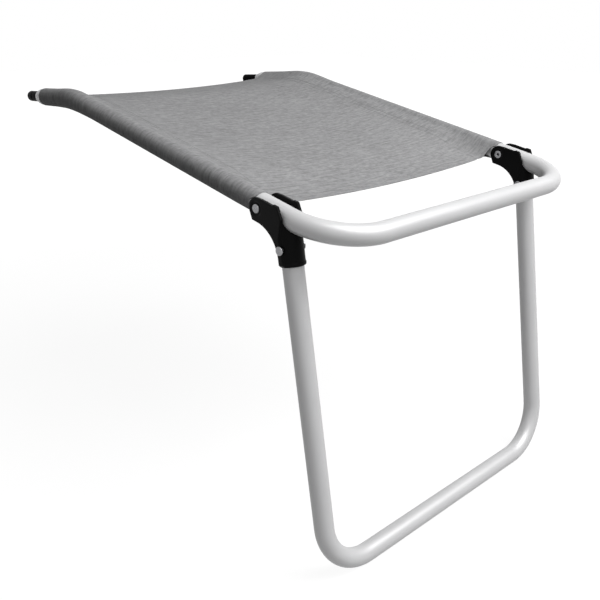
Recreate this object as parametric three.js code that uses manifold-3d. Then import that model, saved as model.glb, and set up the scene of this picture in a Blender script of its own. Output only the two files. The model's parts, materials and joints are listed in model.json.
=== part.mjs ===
// Clip-on footrest for a folding camp chair, in millimetres.
// +X runs across, +Y runs back towards the chair, +Z is up. The origin is midway between the mouths of the
// two rear tube ends, which the chair's seat tubes take.
import * as THREE from "three";
import { mergeVertices } from "three/addons/utils/BufferGeometryUtils.js";
import Module from "manifold-3d";

const wasm = await Module();
wasm.setup();

// Clearances and how finely round shapes are drawn
const fitGap = 0.3;
const overrun = 20;
const weldDistance = 0.001;
const tubeSides = 24;
const roundSides = 24;
const smallRoundSides = 16;

// Frame tube: front bar, two corners, two rails, two rear bends and two tails
const tubeRadius = 11;
const tubeWall = 1.5;
const railSpacing = 410;
const cornerRadius = 62;
const railRun = 467;
const railPitch = THREE.MathUtils.degToRad(10);
const rearBendRadius = 230;
const rearBendAngle = THREE.MathUtils.degToRad(13.8);
const rearBendLean = THREE.MathUtils.degToRad(11.3);
const tailLength = 87;
const taperLength = 12;
const mouthRadius = 8.4;
const cornerSteps = 9;
const rearBendSteps = 4;

// Leg: where its axis crosses the rail, how it leans, and its run down to the foot bar
const pivotFromBar = 99.5;
const legAheadOfPivot = 30;
const legLean = THREE.MathUtils.degToRad(19.6);
const legRun = 397;
const legCornerRadius = 60;
const legTopFromRail = 18.4;
const foldAngle = THREE.MathUtils.degToRad(105);
const foldMargin = THREE.MathUtils.degToRad(2);

// Hinge bracket: two ears that straddle the rail, a socket for the leg and a saddle under the rail
const earThickness = 3.5;
const lobeRadius = 11;
const heelBehindPivot = 4.5;
const heelDrop = 13.2;
const kneeRadius = 37;
const earTop = 11.5;
const nibRise = 1.2;
const nibLength = 6;
const earFront = 29;
const earShoulder = 7.5;
const earShoulderDrop = 10.7;
const earFrontDrop = 18;
const padBehindLeg = 4.3;
const padAheadOfLeg = 3;
const padEndAboveSocketEnd = 2;
const socketWall = 1.7;
const socketEnd = 47.3;
const collarHeight = 3.6;
const collarRise = 0.5;
const collarRound = 1.4;
const recessRadius = 7.6;
const recessDepth = 0.6;

// Rivets and bushes
const shankRadius = 3;
const headRadius = 5;
const headHeight = 2.7;
const headEdge = 0.5;
const rolledRadius = 4.9;
const rolledHeight = 1.6;
const rolledBoreRadius = 1.7;
const rolledBoreDepth = 6;
const legRivetFromRail = 30.1;
const bushWall = 1.2;

// End plugs
const plugRadius = 7.2;
const plugLength = 36;
const plugTipRadius = 4.2;
const plugTipRound = 3;
const plugGrooveDepth = 0.7;
const plugGrooveWidth = 3;
const plugGrooveFromTip = 15;
const plugStemBeyondTaper = 18;
const plugCollarLength = 6;

// Sling: a sheet with a pocket round each rail
const clothThickness = 0.9;
const pocketSlack = 0.5;
const tailPocketSlack = 0.9;
const slingBehindPivot = 16.5;
const slingFromMouth = 13;
const frontEdgeDrop = 6;
const rearEdgeDrop = 3;
const frontSag = 9;
const rearSag = 3;
const pocketSides = 18;
const sheetSteps = 9;
const straightStations = 5;
const tailStations = 2;

const aluminium = { color: 0xd9dadb, roughness: 0.34, metalness: 0.85 };
const blackPlastic = { color: 0x1b1b1c, roughness: 0.5, metalness: 0 };
const rivetSteel = { color: 0xb9babc, roughness: 0.25, metalness: 1 };
const naturalPlastic = { color: 0xd8d6cf, roughness: 0.55, metalness: 0 };
const greyTextile = { color: 0x8d8e90, roughness: 0.9, metalness: 0 };

// A named mesh with its own material
function piece(name, geometry, finish) {
  const mesh = new THREE.Mesh(geometry, new THREE.MeshStandardMaterial(finish));
  mesh.name = name;
  return mesh;
}

// A closed geometry as a solid that can be joined and cut
function solidOf(geometry) {
  const bare = geometry.clone();
  bare.deleteAttribute("normal");
  bare.deleteAttribute("uv");
  const merged = mergeVertices(bare, weldDistance);
  return new wasm.Manifold(
    new wasm.Mesh({
      numProp: 3,
      vertProperties: merged.attributes.position.array,
      triVerts: new Uint32Array(merged.index.array),
    }),
  );
}

// The solid's surface as a geometry
function geometryOf(solid) {
  const mesh = solid.getMesh();
  const geometry = new THREE.BufferGeometry();
  geometry.setAttribute("position", new THREE.BufferAttribute(mesh.vertProperties, 3));
  geometry.setIndex(new THREE.BufferAttribute(mesh.triVerts, 1));
  geometry.computeVertexNormals();
  return geometry;
}

// The radius of a faceted bore whose flats clear a round of the given radius
function clearRadius(radius, sides) {
  return (radius + fitGap) / Math.cos(Math.PI / sides);
}

// A point in the upright plane along the rail: how far behind the pivot, and how far above it
function sidePoint(behind, above) {
  return new THREE.Vector2(behind, above);
}

// An outline in that upright plane, as a plate from x = -halfWidth to x = halfWidth
function sidePlate(outline, halfWidth) {
  const plate = new THREE.ExtrudeGeometry(new THREE.Shape(outline), {
    depth: 2 * halfWidth,
    bevelEnabled: false,
  });
  plate.translate(0, 0, -halfWidth);
  const across = new THREE.Vector3(1, 0, 0);
  const behind = new THREE.Vector3(0, 1, 0);
  const above = new THREE.Vector3(0, 0, 1);
  plate.applyMatrix4(new THREE.Matrix4().makeBasis(behind, above, across));
  return plate;
}

// A round bar along X through a point of the upright plane
function crossBar(radius, halfLength, at) {
  const bar = new THREE.CylinderGeometry(radius, radius, 2 * halfLength, smallRoundSides);
  bar.rotateZ(Math.PI / 2);
  bar.translate(0, at.x, at.y);
  return bar;
}

// A centre line made of straights and bends, with one station at each ring of the tube
class TubeRun extends THREE.Curve {
  constructor(start, heading) {
    super();
    this.at = start.clone();
    this.heading = heading.clone().normalize();
    this.stations = [{ point: this.at.clone(), tangent: this.heading.clone() }];
  }

  mark() {
    this.stations.push({ point: this.at.clone(), tangent: this.heading.clone() });
  }

  straight(length) {
    this.at.addScaledVector(this.heading, length);
    this.mark();
    return this;
  }

  // Bends by an angle about an axis that is square to the heading
  bend(radius, angle, axis, steps) {
    const toCentre = new THREE.Vector3().crossVectors(axis, this.heading).multiplyScalar(radius);
    const centre = this.at.clone().add(toCentre);
    const spoke = toCentre.clone().negate();
    const start = this.heading.clone();
    for (let step = 1; step <= steps; step += 1) {
      const turned = (angle * step) / steps;
      this.at.copy(spoke).applyAxisAngle(axis, turned).add(centre);
      this.heading.copy(start).applyAxisAngle(axis, turned);
      this.mark();
    }
    return this;
  }

  station(share) {
    return this.stations[Math.round(share * (this.stations.length - 1))];
  }

  getPointAt(share, target = new THREE.Vector3()) {
    return target.copy(this.station(share).point);
  }

  getTangentAt(share, target = new THREE.Vector3()) {
    return target.copy(this.station(share).tangent);
  }
}

// A round bar along a run, or a tube with open ends where a bore is given
function barAlong(run, radius, bore = 0) {
  const section = new THREE.Shape().absarc(0, 0, radius, 0, 2 * Math.PI);
  if (bore > 0) {
    section.holes.push(new THREE.Path().absarc(0, 0, bore, 0, 2 * Math.PI, true));
  }
  return new THREE.ExtrudeGeometry(section, {
    steps: run.stations.length - 1,
    curveSegments: tubeSides / 2,
    extrudePath: run,
  });
}

// The rail and tail of one side: stations from the sling's front to the tube's mouth, with how far each lies
// along, below and inward of the level rail, and how far the run slopes down there. The plane of the rear bend
// leans, so that the tail turns down and a little inward.
function railStation(distance) {
  const past = Math.max(distance - railRun - rearBendRadius * rearBendAngle, 0);
  const turned = Math.min(Math.max(distance - railRun, 0) / rearBendRadius, rearBendAngle);
  const fall = rearBendRadius * (1 - Math.cos(turned)) + past * Math.sin(turned);
  return {
    along: Math.min(distance, railRun) + rearBendRadius * Math.sin(turned) + past * Math.cos(turned),
    drop: fall * Math.cos(rearBendLean),
    inward: fall * Math.sin(rearBendLean),
    angle: Math.atan(Math.tan(turned) * Math.cos(rearBendLean)),
  };
}

// The axis of one side's rear bend, about which the run turns on its way back
function rearBendAxis(sign) {
  return new THREE.Vector3(-Math.cos(rearBendLean), 0, sign * Math.sin(rearBendLean));
}
const mouthDistance = railRun + rearBendRadius * rearBendAngle + tailLength;
const mouth = railStation(mouthDistance);

// The frame's centre line, from the left mouth round the front bar to the right mouth
function frameRun() {
  const squareToRails = new THREE.Vector3(0, 0, 1);
  const start = new THREE.Vector3(mouth.inward - railSpacing / 2, mouth.along, -mouth.drop);
  const forward = new THREE.Vector3(0, -1, 0).applyAxisAngle(rearBendAxis(-1), rearBendAngle);
  const railStraight = railRun - cornerRadius;
  return new TubeRun(start, forward)
    .straight(taperLength)
    .straight(tailLength - taperLength)
    .bend(rearBendRadius, rearBendAngle, rearBendAxis(-1).negate(), rearBendSteps)
    .straight(railStraight)
    .bend(cornerRadius, Math.PI / 2, squareToRails, cornerSteps)
    .straight(railSpacing - 2 * cornerRadius)
    .bend(cornerRadius, Math.PI / 2, squareToRails, cornerSteps)
    .straight(railStraight)
    .bend(rearBendRadius, rearBendAngle, rearBendAxis(1), rearBendSteps)
    .straight(tailLength - taperLength)
    .straight(taperLength);
}

// One bent tube with drawn-in mouths and its rivet holes
function frameTube() {
  const run = frameRun();
  const tube = barAlong(run, tubeRadius, tubeRadius - tubeWall);
  drawInMouths(tube, run);
  const hole = crossBar(shankRadius + fitGap, railSpacing, sidePoint(pivotFromBar, 0));
  return geometryOf(solidOf(tube).subtract(solidOf(hole)));
}

// Draws the last ring of each tube end in to the mouth's radius, and keeps the wall
function drawInMouths(geometry, run) {
  const positions = geometry.attributes.position;
  const vertex = new THREE.Vector3();
  const ends = [run.stations[0].point, run.stations[run.stations.length - 1].point];
  for (let index = 0; index < positions.count; index += 1) {
    vertex.fromBufferAttribute(positions, index);
    for (const end of ends) {
      const spoke = vertex.clone().sub(end);
      const radius = spoke.length();
      if (radius <= tubeRadius + weldDistance) {
        spoke.setLength(radius - tubeRadius + mouthRadius).add(end);
        positions.setXYZ(index, spoke.x, spoke.y, spoke.z);
      }
    }
  }
}

// The U of the leg, drawn with its rivet axis along X: Y runs back from the leg's plane, Z up the legs
function legTube() {
  const legStraight = legRun - legCornerRadius - legTopFromRail;
  const down = new THREE.Vector3(0, 0, -1);
  const start = new THREE.Vector3(-railSpacing / 2, 0, -legTopFromRail);
  const facing = new THREE.Vector3(0, -1, 0);
  const run = new TubeRun(start, down)
    .straight(legStraight)
    .bend(legCornerRadius, Math.PI / 2, facing, cornerSteps)
    .straight(railSpacing - 2 * legCornerRadius)
    .bend(legCornerRadius, Math.PI / 2, facing, cornerSteps)
    .straight(legStraight);
  const hole = crossBar(shankRadius + fitGap, railSpacing, sidePoint(0, -legRivetFromRail));
  const tube = barAlong(run, tubeRadius, tubeRadius - tubeWall);
  return geometryOf(solidOf(tube).subtract(solidOf(hole)));
}

// Where the leg's axis is at a distance down from the rail's axis, and how far behind that axis
function legPoint(down, behind = 0) {
  return sidePoint(
    -legAheadOfPivot - down * Math.sin(legLean) + behind * Math.cos(legLean),
    -down * Math.cos(legLean) - behind * Math.sin(legLean),
  );
}

// The ears' outline: lobe round the pivot, heel, concave knee, pad over the leg rivet, front edge, top nib
function earOutline() {
  const reach = kneeRadius + padBehindLeg - (heelDrop + kneeRadius) * Math.sin(legLean);
  const kneeAt = reach / Math.cos(legLean) - legAheadOfPivot;
  const padEnd = socketEnd - padEndAboveSocketEnd;
  const heel = sidePoint(heelBehindPivot, -heelDrop);
  const heelAngle = heel.angle() - 2 * Math.PI;
  const tangentAngle = heelAngle + Math.acos(lobeRadius / heel.length());
  const outline = new THREE.Shape();
  outline.moveTo(-earFront, earTop + nibRise);
  outline.lineTo(nibLength - earFront, earTop + nibRise);
  outline.lineTo(nibLength + nibRise - earFront, earTop);
  outline.lineTo(-heelBehindPivot, earTop);
  outline.absarc(0, 0, lobeRadius, Math.PI / 2, tangentAngle, true);
  outline.lineTo(heel.x, heel.y);
  outline.absarc(kneeAt, -heelDrop - kneeRadius, kneeRadius, Math.PI / 2, Math.PI - legLean, false);
  for (const corner of [
    legPoint(padEnd, padBehindLeg),
    legPoint(padEnd, -padAheadOfLeg),
    sidePoint(-earFront - earShoulder, -earFrontDrop),
    sidePoint(-earFront - earShoulder, earTop + nibRise - earShoulderDrop),
  ]) {
    outline.lineTo(corner.x, corner.y);
  }
  return outline.getPoints(roundSides / 3);
}

// A turned shape whose axis follows the leg: profile points are distance from the axis and distance down
function alongLeg(profile) {
  const turned = new THREE.LatheGeometry(
    profile.map(([radius, down]) => new THREE.Vector2(radius, -down)),
    roundSides,
  );
  turned.rotateX(Math.PI / 2);
  turned.rotateX(-legLean);
  const top = legPoint(0);
  turned.translate(0, top.x, top.y);
  return turned;
}

// One moulded bracket, drawn round its pivot with Y along the rail and Z square to it. The rail's way through
// it follows the rail and the start of its corner, which turns towards the other side. A second way, turned
// down to the folded place, clears the rail and the sling's pocket on it.
function hingeBracket(sign) {
  const halfWidth = tubeRadius + fitGap + earThickness;
  const channel = tubeRadius + fitGap;
  const boreRadius = clearRadius(tubeRadius, Math.min(roundSides, tubeSides));
  const socketRadius = tubeRadius + fitGap + socketWall;
  const collarRadius = socketRadius + collarRise;
  let bracket = solidOf(sidePlate(earOutline(), halfWidth));
  bracket = bracket.add(
    solidOf(
      alongLeg([
        [0, socketEnd],
        [collarRadius - collarRound, socketEnd],
        [collarRadius, socketEnd - collarRound],
        [collarRadius, socketEnd - collarHeight],
        [socketRadius, socketEnd - collarHeight - collarRise],
        [socketRadius, 0],
        [0, 0],
      ]),
    ),
  );
  const railWay = barAlong(frameRun(), boreRadius);
  railWay.translate((-sign * railSpacing) / 2, -pivotFromBar, 0);
  const openTop = new THREE.BoxGeometry(2 * channel, 2 * pivotFromBar, overrun);
  openTop.translate(0, 0, overrun / 2);
  const sleeveWay = tubeRadius + pocketSlack + clothThickness + fitGap;
  const foldedWay = new THREE.BoxGeometry(2 * channel, 2 * pivotFromBar, overrun + sleeveWay);
  foldedWay.translate(0, 0, (overrun - sleeveWay) / 2);
  foldedWay.rotateX(-foldAngle - foldMargin);
  const legBore = alongLeg([
    [0, socketEnd + overrun],
    [boreRadius, socketEnd + overrun],
    [boreRadius, legTopFromRail - fitGap],
    [0, legTopFromRail - fitGap],
  ]);
  const holeRadius = shankRadius + fitGap;
  const cuts = [
    railWay,
    openTop,
    foldedWay,
    legBore,
    crossBar(holeRadius, halfWidth + overrun, sidePoint(0, 0)),
    crossBar(holeRadius, halfWidth + overrun, legPoint(legRivetFromRail)),
  ];
  for (const side of [-1, 1]) {
    const recess = crossBar(recessRadius, recessDepth, sidePoint(0, 0));
    cuts.push(recess.translate(side * halfWidth, 0, 0));
  }
  for (const cut of cuts) {
    bracket = bracket.subtract(solidOf(cut));
  }
  return geometryOf(bracket);
}

// A rivet along X with its domed head at negative x and its rolled end at positive x
function rivet(seat) {
  const profile = [new THREE.Vector2(0, -seat - headHeight)];
  const domeSteps = 5;
  for (let step = 1; step <= domeSteps; step += 1) {
    const angle = (Math.PI / 2) * (step / domeSteps);
    profile.push(new THREE.Vector2(
      headRadius * Math.sin(angle),
      -seat - headEdge - (headHeight - headEdge) * Math.cos(angle),
    ));
  }
  profile.push(
    new THREE.Vector2(headRadius, -seat),
    new THREE.Vector2(shankRadius, -seat),
    new THREE.Vector2(shankRadius, seat),
    new THREE.Vector2(rolledRadius, seat),
    new THREE.Vector2((rolledRadius + rolledBoreRadius) / 2, seat + rolledHeight),
    new THREE.Vector2(rolledBoreRadius, seat + rolledHeight / 2),
    new THREE.Vector2(rolledBoreRadius, seat - rolledBoreDepth),
    new THREE.Vector2(0, seat - rolledBoreDepth),
  );
  const turned = new THREE.LatheGeometry(profile, smallRoundSides);
  turned.rotateZ(-Math.PI / 2);
  return turned;
}

// The bush round the pivot rivet, inside the rail, short enough to clear the tube's round wall
function pivotBush() {
  const inner = shankRadius + fitGap;
  const outer = inner + bushWall;
  const tubeBore = (tubeRadius - tubeWall) * Math.cos(Math.PI / tubeSides);
  const halfLength = Math.sqrt(tubeBore ** 2 - outer ** 2) - fitGap;
  const profile = [
    new THREE.Vector2(inner, -halfLength),
    new THREE.Vector2(outer, -halfLength),
    new THREE.Vector2(outer, halfLength),
    new THREE.Vector2(inner, halfLength),
    new THREE.Vector2(inner, -halfLength),
  ];
  return new THREE.LatheGeometry(profile, smallRoundSides).rotateZ(-Math.PI / 2);
}

// The plug along Y: its stem and collar lie in the tube (negative y), its body stands out of the mouth
function endPlug() {
  const stemRadius = mouthRadius - tubeWall - fitGap;
  const collarRadius = tubeRadius - tubeWall - 2 * fitGap;
  const collarStart = -taperLength - plugStemBeyondTaper;
  const groove = plugLength - plugGrooveFromTip;
  const profile = [
    [0, collarStart],
    [collarRadius, collarStart],
    [collarRadius, collarStart + plugCollarLength],
    [stemRadius, collarStart + plugCollarLength + collarRadius - stemRadius],
    [stemRadius, fitGap],
    [plugRadius, fitGap],
    [plugRadius, groove - plugGrooveWidth],
    [plugRadius - plugGrooveDepth, groove - plugGrooveWidth + plugGrooveDepth],
    [plugRadius - plugGrooveDepth, groove - plugGrooveDepth],
    [plugRadius, groove],
    [plugRadius, plugLength - plugTipRound],
  ];
  const tipSteps = 4;
  for (let step = 1; step <= tipSteps; step += 1) {
    const angle = (Math.PI / 2) * (step / tipSteps);
    profile.push([
      plugTipRadius + (plugRadius - plugTipRadius) * Math.cos(angle),
      plugLength - plugTipRound + plugTipRound * Math.sin(angle),
    ]);
  }
  profile.push([0, plugLength]);
  return new THREE.LatheGeometry(
    profile.map(([radius, along]) => new THREE.Vector2(radius, along)),
    smallRoundSides,
  );
}

// The sling's section at a share of its length, 0 at the front edge and 1 at the rear edge: the outer loop
// round both pockets and the sheet between them, and the bore of each pocket
function slingSection(share, slack, inward) {
  const boreRadius = tubeRadius + slack;
  const outerRadius = boreRadius + clothThickness;
  const half = railSpacing / 2 - inward;
  const edgeDrop = THREE.MathUtils.lerp(frontEdgeDrop, rearEdgeDrop, share);
  const sag = THREE.MathUtils.lerp(frontSag, rearSag, share);
  const topAngle = Math.PI + Math.asin(edgeDrop / outerRadius);
  const underAngle = Math.asin((edgeDrop + clothThickness) / outerRadius) - Math.PI;
  const sheetHalf = half + outerRadius * Math.cos(topAngle);
  const rightPocket = [];
  for (let step = 0; step <= pocketSides; step += 1) {
    const angle = THREE.MathUtils.lerp(topAngle, underAngle, step / pocketSides);
    rightPocket.push([half + outerRadius * Math.cos(angle), outerRadius * Math.sin(angle)]);
  }
  const sheetTop = [];
  for (let step = 1; step < sheetSteps; step += 1) {
    const x = THREE.MathUtils.lerp(-sheetHalf, sheetHalf, step / sheetSteps);
    sheetTop.push([x, -edgeDrop - sag * (1 - (x / sheetHalf) ** 2)]);
  }
  const mirrored = (points) => points.map(([x, z]) => [-x, z]).reverse();
  const sheetUnder = sheetTop.map(([x, z]) => [x, z - clothThickness]).reverse();
  const bore = [];
  for (let step = 0; step < pocketSides; step += 1) {
    const angle = (2 * Math.PI * step) / pocketSides;
    bore.push([half + boreRadius * Math.cos(angle), boreRadius * Math.sin(angle)]);
  }
  return {
    outer: [...sheetTop, ...rightPocket, ...sheetUnder, ...mirrored(rightPocket)],
    bores: [bore, mirrored(bore)],
  };
}

// The sling as one closed cloth solid that follows the rails round their rear bends
function sling() {
  const start = pivotFromBar + slingBehindPivot;
  const end = mouthDistance - slingFromMouth;
  const bendEnd = railRun + rearBendRadius * rearBendAngle;
  const distances = [];
  for (let step = 0; step < straightStations; step += 1) {
    distances.push(THREE.MathUtils.lerp(start, railRun, step / straightStations));
  }
  for (let step = 0; step < rearBendSteps; step += 1) {
    distances.push(THREE.MathUtils.lerp(railRun, bendEnd, step / rearBendSteps));
  }
  for (let step = 0; step <= tailStations; step += 1) {
    distances.push(THREE.MathUtils.lerp(bendEnd, end, step / tailStations));
  }
  const sections = distances.map((distance) => {
    const share = (distance - start) / (end - start);
    const bent = THREE.MathUtils.smoothstep(distance, railRun, bendEnd);
    const station = railStation(distance);
    const slack = THREE.MathUtils.lerp(pocketSlack, tailPocketSlack, bent);
    const { outer, bores } = slingSection(share, slack, station.inward);
    return { station, loops: [outer, ...bores] };
  });
  const positions = [];
  for (const { station, loops } of sections) {
    for (const [x, above] of loops.flat()) {
      positions.push(
        x,
        station.along + above * Math.sin(station.angle),
        -station.drop + above * Math.cos(station.angle),
      );
    }
  }
  const ring = sections[0].loops.flat().length;
  const indices = [];
  sections.slice(1).forEach((section, index) => {
    let loopStart = index * ring;
    for (const loop of section.loops) {
      for (let step = 0; step < loop.length; step += 1) {
        const a = loopStart + step;
        const b = loopStart + ((step + 1) % loop.length);
        indices.push(a, b, b + ring, a, b + ring, a + ring);
      }
      loopStart += loop.length;
    }
  });
  for (const [section, firstPoint, facesFront] of [
    [sections[0], 0, true],
    [sections[sections.length - 1], (sections.length - 1) * ring, false],
  ]) {
    const [outer, ...bores] = section.loops.map((loop) => loop.map(([x, z]) => new THREE.Vector2(x, z)));
    const points = [outer, ...bores].flat();
    for (const [a, b, c] of THREE.ShapeUtils.triangulateShape(outer, bores)) {
      const turnsLeft = THREE.ShapeUtils.area([points[a], points[b], points[c]]) > 0;
      const [second, third] = turnsLeft === facesFront ? [b, c] : [c, b];
      indices.push(firstPoint + a, firstPoint + second, firstPoint + third);
    }
  }
  const geometry = new THREE.BufferGeometry();
  geometry.setAttribute("position", new THREE.Float32BufferAttribute(positions, 3));
  geometry.setIndex(indices);
  geometry.computeVertexNormals();
  return geometry;
}

// The whole footrest: the seat group is drawn with its rails level and then pitched up towards the chair
const footrest = new THREE.Group();
const seat = new THREE.Group();
seat.rotation.x = railPitch;
seat.position.set(
  0,
  -mouth.along * Math.cos(railPitch) - mouth.drop * Math.sin(railPitch),
  -mouth.along * Math.sin(railPitch) + mouth.drop * Math.cos(railPitch),
);
footrest.add(seat);
seat.add(piece("frame_tube", frameTube(), aluminium));
seat.add(piece("sling", sling(), greyTextile));

const sides = [
  { name: "left", sign: -1 },
  { name: "right", sign: 1 },
];

// The folding leg turns about the pivot rivets, which lie on the rails' axes
const leg = new THREE.Group();
leg.position.y = pivotFromBar;
seat.add(leg);
const legFrame = new THREE.Group();
legFrame.position.y = -legAheadOfPivot;
legFrame.rotation.x = -legLean;
leg.add(legFrame);
legFrame.add(piece("leg_tube", legTube(), aluminium));

for (const { name, sign } of sides) {
  const bracket = piece(`hinge_bracket_${name}`, hingeBracket(sign), blackPlastic);
  bracket.position.x = (sign * railSpacing) / 2;
  leg.add(bracket);

  const earFace = tubeRadius + fitGap + earThickness;
  const pivotRivet = piece(`pivot_rivet_${name}`, rivet(earFace - recessDepth + fitGap), rivetSteel);
  pivotRivet.position.x = (sign * railSpacing) / 2;
  pivotRivet.rotation.y = sign > 0 ? Math.PI : 0;
  leg.add(pivotRivet);

  const legRivet = piece(`leg_rivet_${name}`, rivet(earFace + fitGap), rivetSteel);
  const at = legPoint(legRivetFromRail);
  legRivet.position.set((sign * railSpacing) / 2, at.x, at.y);
  legRivet.rotation.y = sign > 0 ? Math.PI : 0;
  leg.add(legRivet);

  const bush = piece(`pivot_bush_${name}`, pivotBush(), naturalPlastic);
  bush.position.set((sign * railSpacing) / 2, pivotFromBar, 0);
  seat.add(bush);

  const plug = piece(`end_plug_${name}`, endPlug(), blackPlastic);
  plug.position.set(sign * (railSpacing / 2 - mouth.inward), mouth.along, -mouth.drop);
  plug.quaternion.setFromAxisAngle(rearBendAxis(sign), rearBendAngle);
  seat.add(plug);
}

export default footrest;
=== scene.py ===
import json
import math

import bmesh
import bpy
from mathutils import Matrix, Vector, noise


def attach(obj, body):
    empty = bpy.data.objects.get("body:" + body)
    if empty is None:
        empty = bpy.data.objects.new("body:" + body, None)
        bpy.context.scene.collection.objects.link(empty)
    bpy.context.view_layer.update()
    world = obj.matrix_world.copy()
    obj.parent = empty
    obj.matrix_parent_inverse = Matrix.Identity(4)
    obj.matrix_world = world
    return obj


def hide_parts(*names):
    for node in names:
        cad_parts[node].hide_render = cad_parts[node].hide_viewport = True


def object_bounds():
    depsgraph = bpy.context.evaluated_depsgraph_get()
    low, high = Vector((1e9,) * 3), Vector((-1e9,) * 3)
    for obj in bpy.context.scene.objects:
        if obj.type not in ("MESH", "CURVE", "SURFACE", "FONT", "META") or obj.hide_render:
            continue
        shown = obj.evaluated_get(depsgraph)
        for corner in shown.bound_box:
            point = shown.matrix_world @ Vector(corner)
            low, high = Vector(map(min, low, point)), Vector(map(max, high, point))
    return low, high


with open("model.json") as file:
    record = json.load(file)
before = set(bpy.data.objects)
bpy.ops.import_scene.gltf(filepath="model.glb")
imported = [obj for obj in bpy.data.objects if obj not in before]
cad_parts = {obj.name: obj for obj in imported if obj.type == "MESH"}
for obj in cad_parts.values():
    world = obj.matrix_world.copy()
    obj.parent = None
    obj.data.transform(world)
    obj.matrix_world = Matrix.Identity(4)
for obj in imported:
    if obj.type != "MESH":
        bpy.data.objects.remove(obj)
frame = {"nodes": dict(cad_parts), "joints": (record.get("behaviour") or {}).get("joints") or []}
cad_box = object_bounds()

bl_info = {
    "name": "Clip-on Footrest",
    "version": (1, 0, 0),
    "blender": (4, 5, 0),
    "location": "View3D > Sidebar > Footrest",
    "description": "Builds the finished pieces of a clip-on chair footrest around its frame",
    "category": "Add Mesh",
}

MM = 0.001
SEAT_BODY = "seat_frame"
LEG_BODY = "leg_assembly"
SIDES = (("left", -1), ("right", 1))
FLOOR_HEIGHT = cad_box[0].z

# Own coordinates in metres: across and along the cloth, along and round a tube, or an object's
CLOTH_MAP = "flat_cloth"
TUBE_MAP = "along_tube"
OBJECT_MAP = "object"

# Places of the stitched rows, as shares of the seam allowance and of the hem
SEAM_ROW_SHARES = (0.2, 0.85)
HEM_ROW_SHARE = 0.8

# How finely round shapes are drawn
TUBE_SEGMENTS = 64
TURNED_SEGMENTS = 64
BEND_STEP = math.radians(4)
TAPER_STEPS = 8
EAR_ARC_STEPS = 24
DOME_STEPS = 14
CURL_STEPS = 12
TIP_STEPS = 10
BAND_STEPS = 6
FILLET_STEPS = 4
STITCH_SEGMENTS = 6
STITCH_RINGS = 4

# Points closer than this are one, and edges sharper than these angles stay sharp
MERGE_DISTANCE = 0.001 * MM
SHARP_ANGLE = math.radians(35)
FOLD_ANGLE = math.radians(60)

# How colours shown on a screen turn into linear light
DISPLAY_GAMMA = 2.2

# The brackets' moulded edges: the cells that draw them, and how far and how often they are smoothed
EDGE_CELL = 0.5 * MM
EDGE_SMOOTHING_SHARE = 0.5
EDGE_PASSES = 5

# How far past the joint's range the folded bracket's way is cut
FOLD_MARGIN = math.radians(2)

# How far shapes that only cut reach past the bracket, as shares of the socket's end
RAIL_WAY_SHARE = 3
CUT_SHARE = 2

# The straight stretch of tube drawn each side of a rivet's hole, as a share of the shank's radius
HOLE_ROOM_SHARE = 3


# Sizes and colours that a user would change

def length(label, description, millimetres):
    return bpy.props.FloatProperty(
        name=label,
        description=description,
        default=millimetres * MM,
        unit="LENGTH",
        subtype="DISTANCE",
    )


def turn(label, description, degrees):
    return bpy.props.FloatProperty(
        name=label,
        description=description,
        default=math.radians(degrees),
        unit="ROTATION",
        subtype="ANGLE",
    )


def colour(label, description, level, tint=(1, 1, 1)):
    linear = [(level * part) ** DISPLAY_GAMMA for part in tint]
    return bpy.props.FloatVectorProperty(
        name=label,
        description=description,
        default=linear,
        size=3,
        min=0,
        max=1,
        subtype="COLOR",
    )


class FootrestTubeSizes(bpy.types.PropertyGroup):
    radius: length("Radius", "Outer radius of both tubes", 11)
    wall: length("Wall", "Wall of both tubes", 1.5)
    rail_spacing: length("Rail spacing", "Between the axes of the two rails", 410)
    rail_run: length("Rail run", "From the front bar's axis to the rear bend", 467)
    rail_pitch: turn("Rail pitch", "How far the rails rise towards the chair", 10)
    corner_radius: length("Corner radius", "Bend radius of the two front corners", 62)
    rear_bend_radius: length("Rear bend radius", "Bend radius near the chair", 230)
    rear_bend_angle: turn("Rear bend", "Turn of the rear bend", 13.8)
    rear_bend_lean: turn("Rear bend lean", "How far that bend's plane leans inward", 11.3)
    tail_length: length("Tail", "Straight end of each rail behind the bend", 87)
    taper_length: length("Taper", "Length of the drawn-in tube end", 12)
    mouth_radius: length("Mouth radius", "Outer radius of the drawn-in mouth", 8.4)
    pivot_from_bar: length("Pivot", "From the front bar's axis to the pivot rivets", 99.5)
    leg_ahead: length("Leg ahead", "From the pivot forward to the leg's axis", 30)
    leg_lean: turn("Leg lean", "Lean of the leg from square to the rails", 19.6)
    leg_run: length("Leg run", "From the rail's axis down to the foot bar's axis", 397)
    leg_corner_radius: length("Leg corner radius", "Bend radius of the leg's corners", 60)
    leg_top: length("Leg top", "From the rail's axis down to the leg's end", 18.4)
    leg_rivet: length("Leg rivet", "From the rail's axis down to the leg rivet", 30.1)


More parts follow.
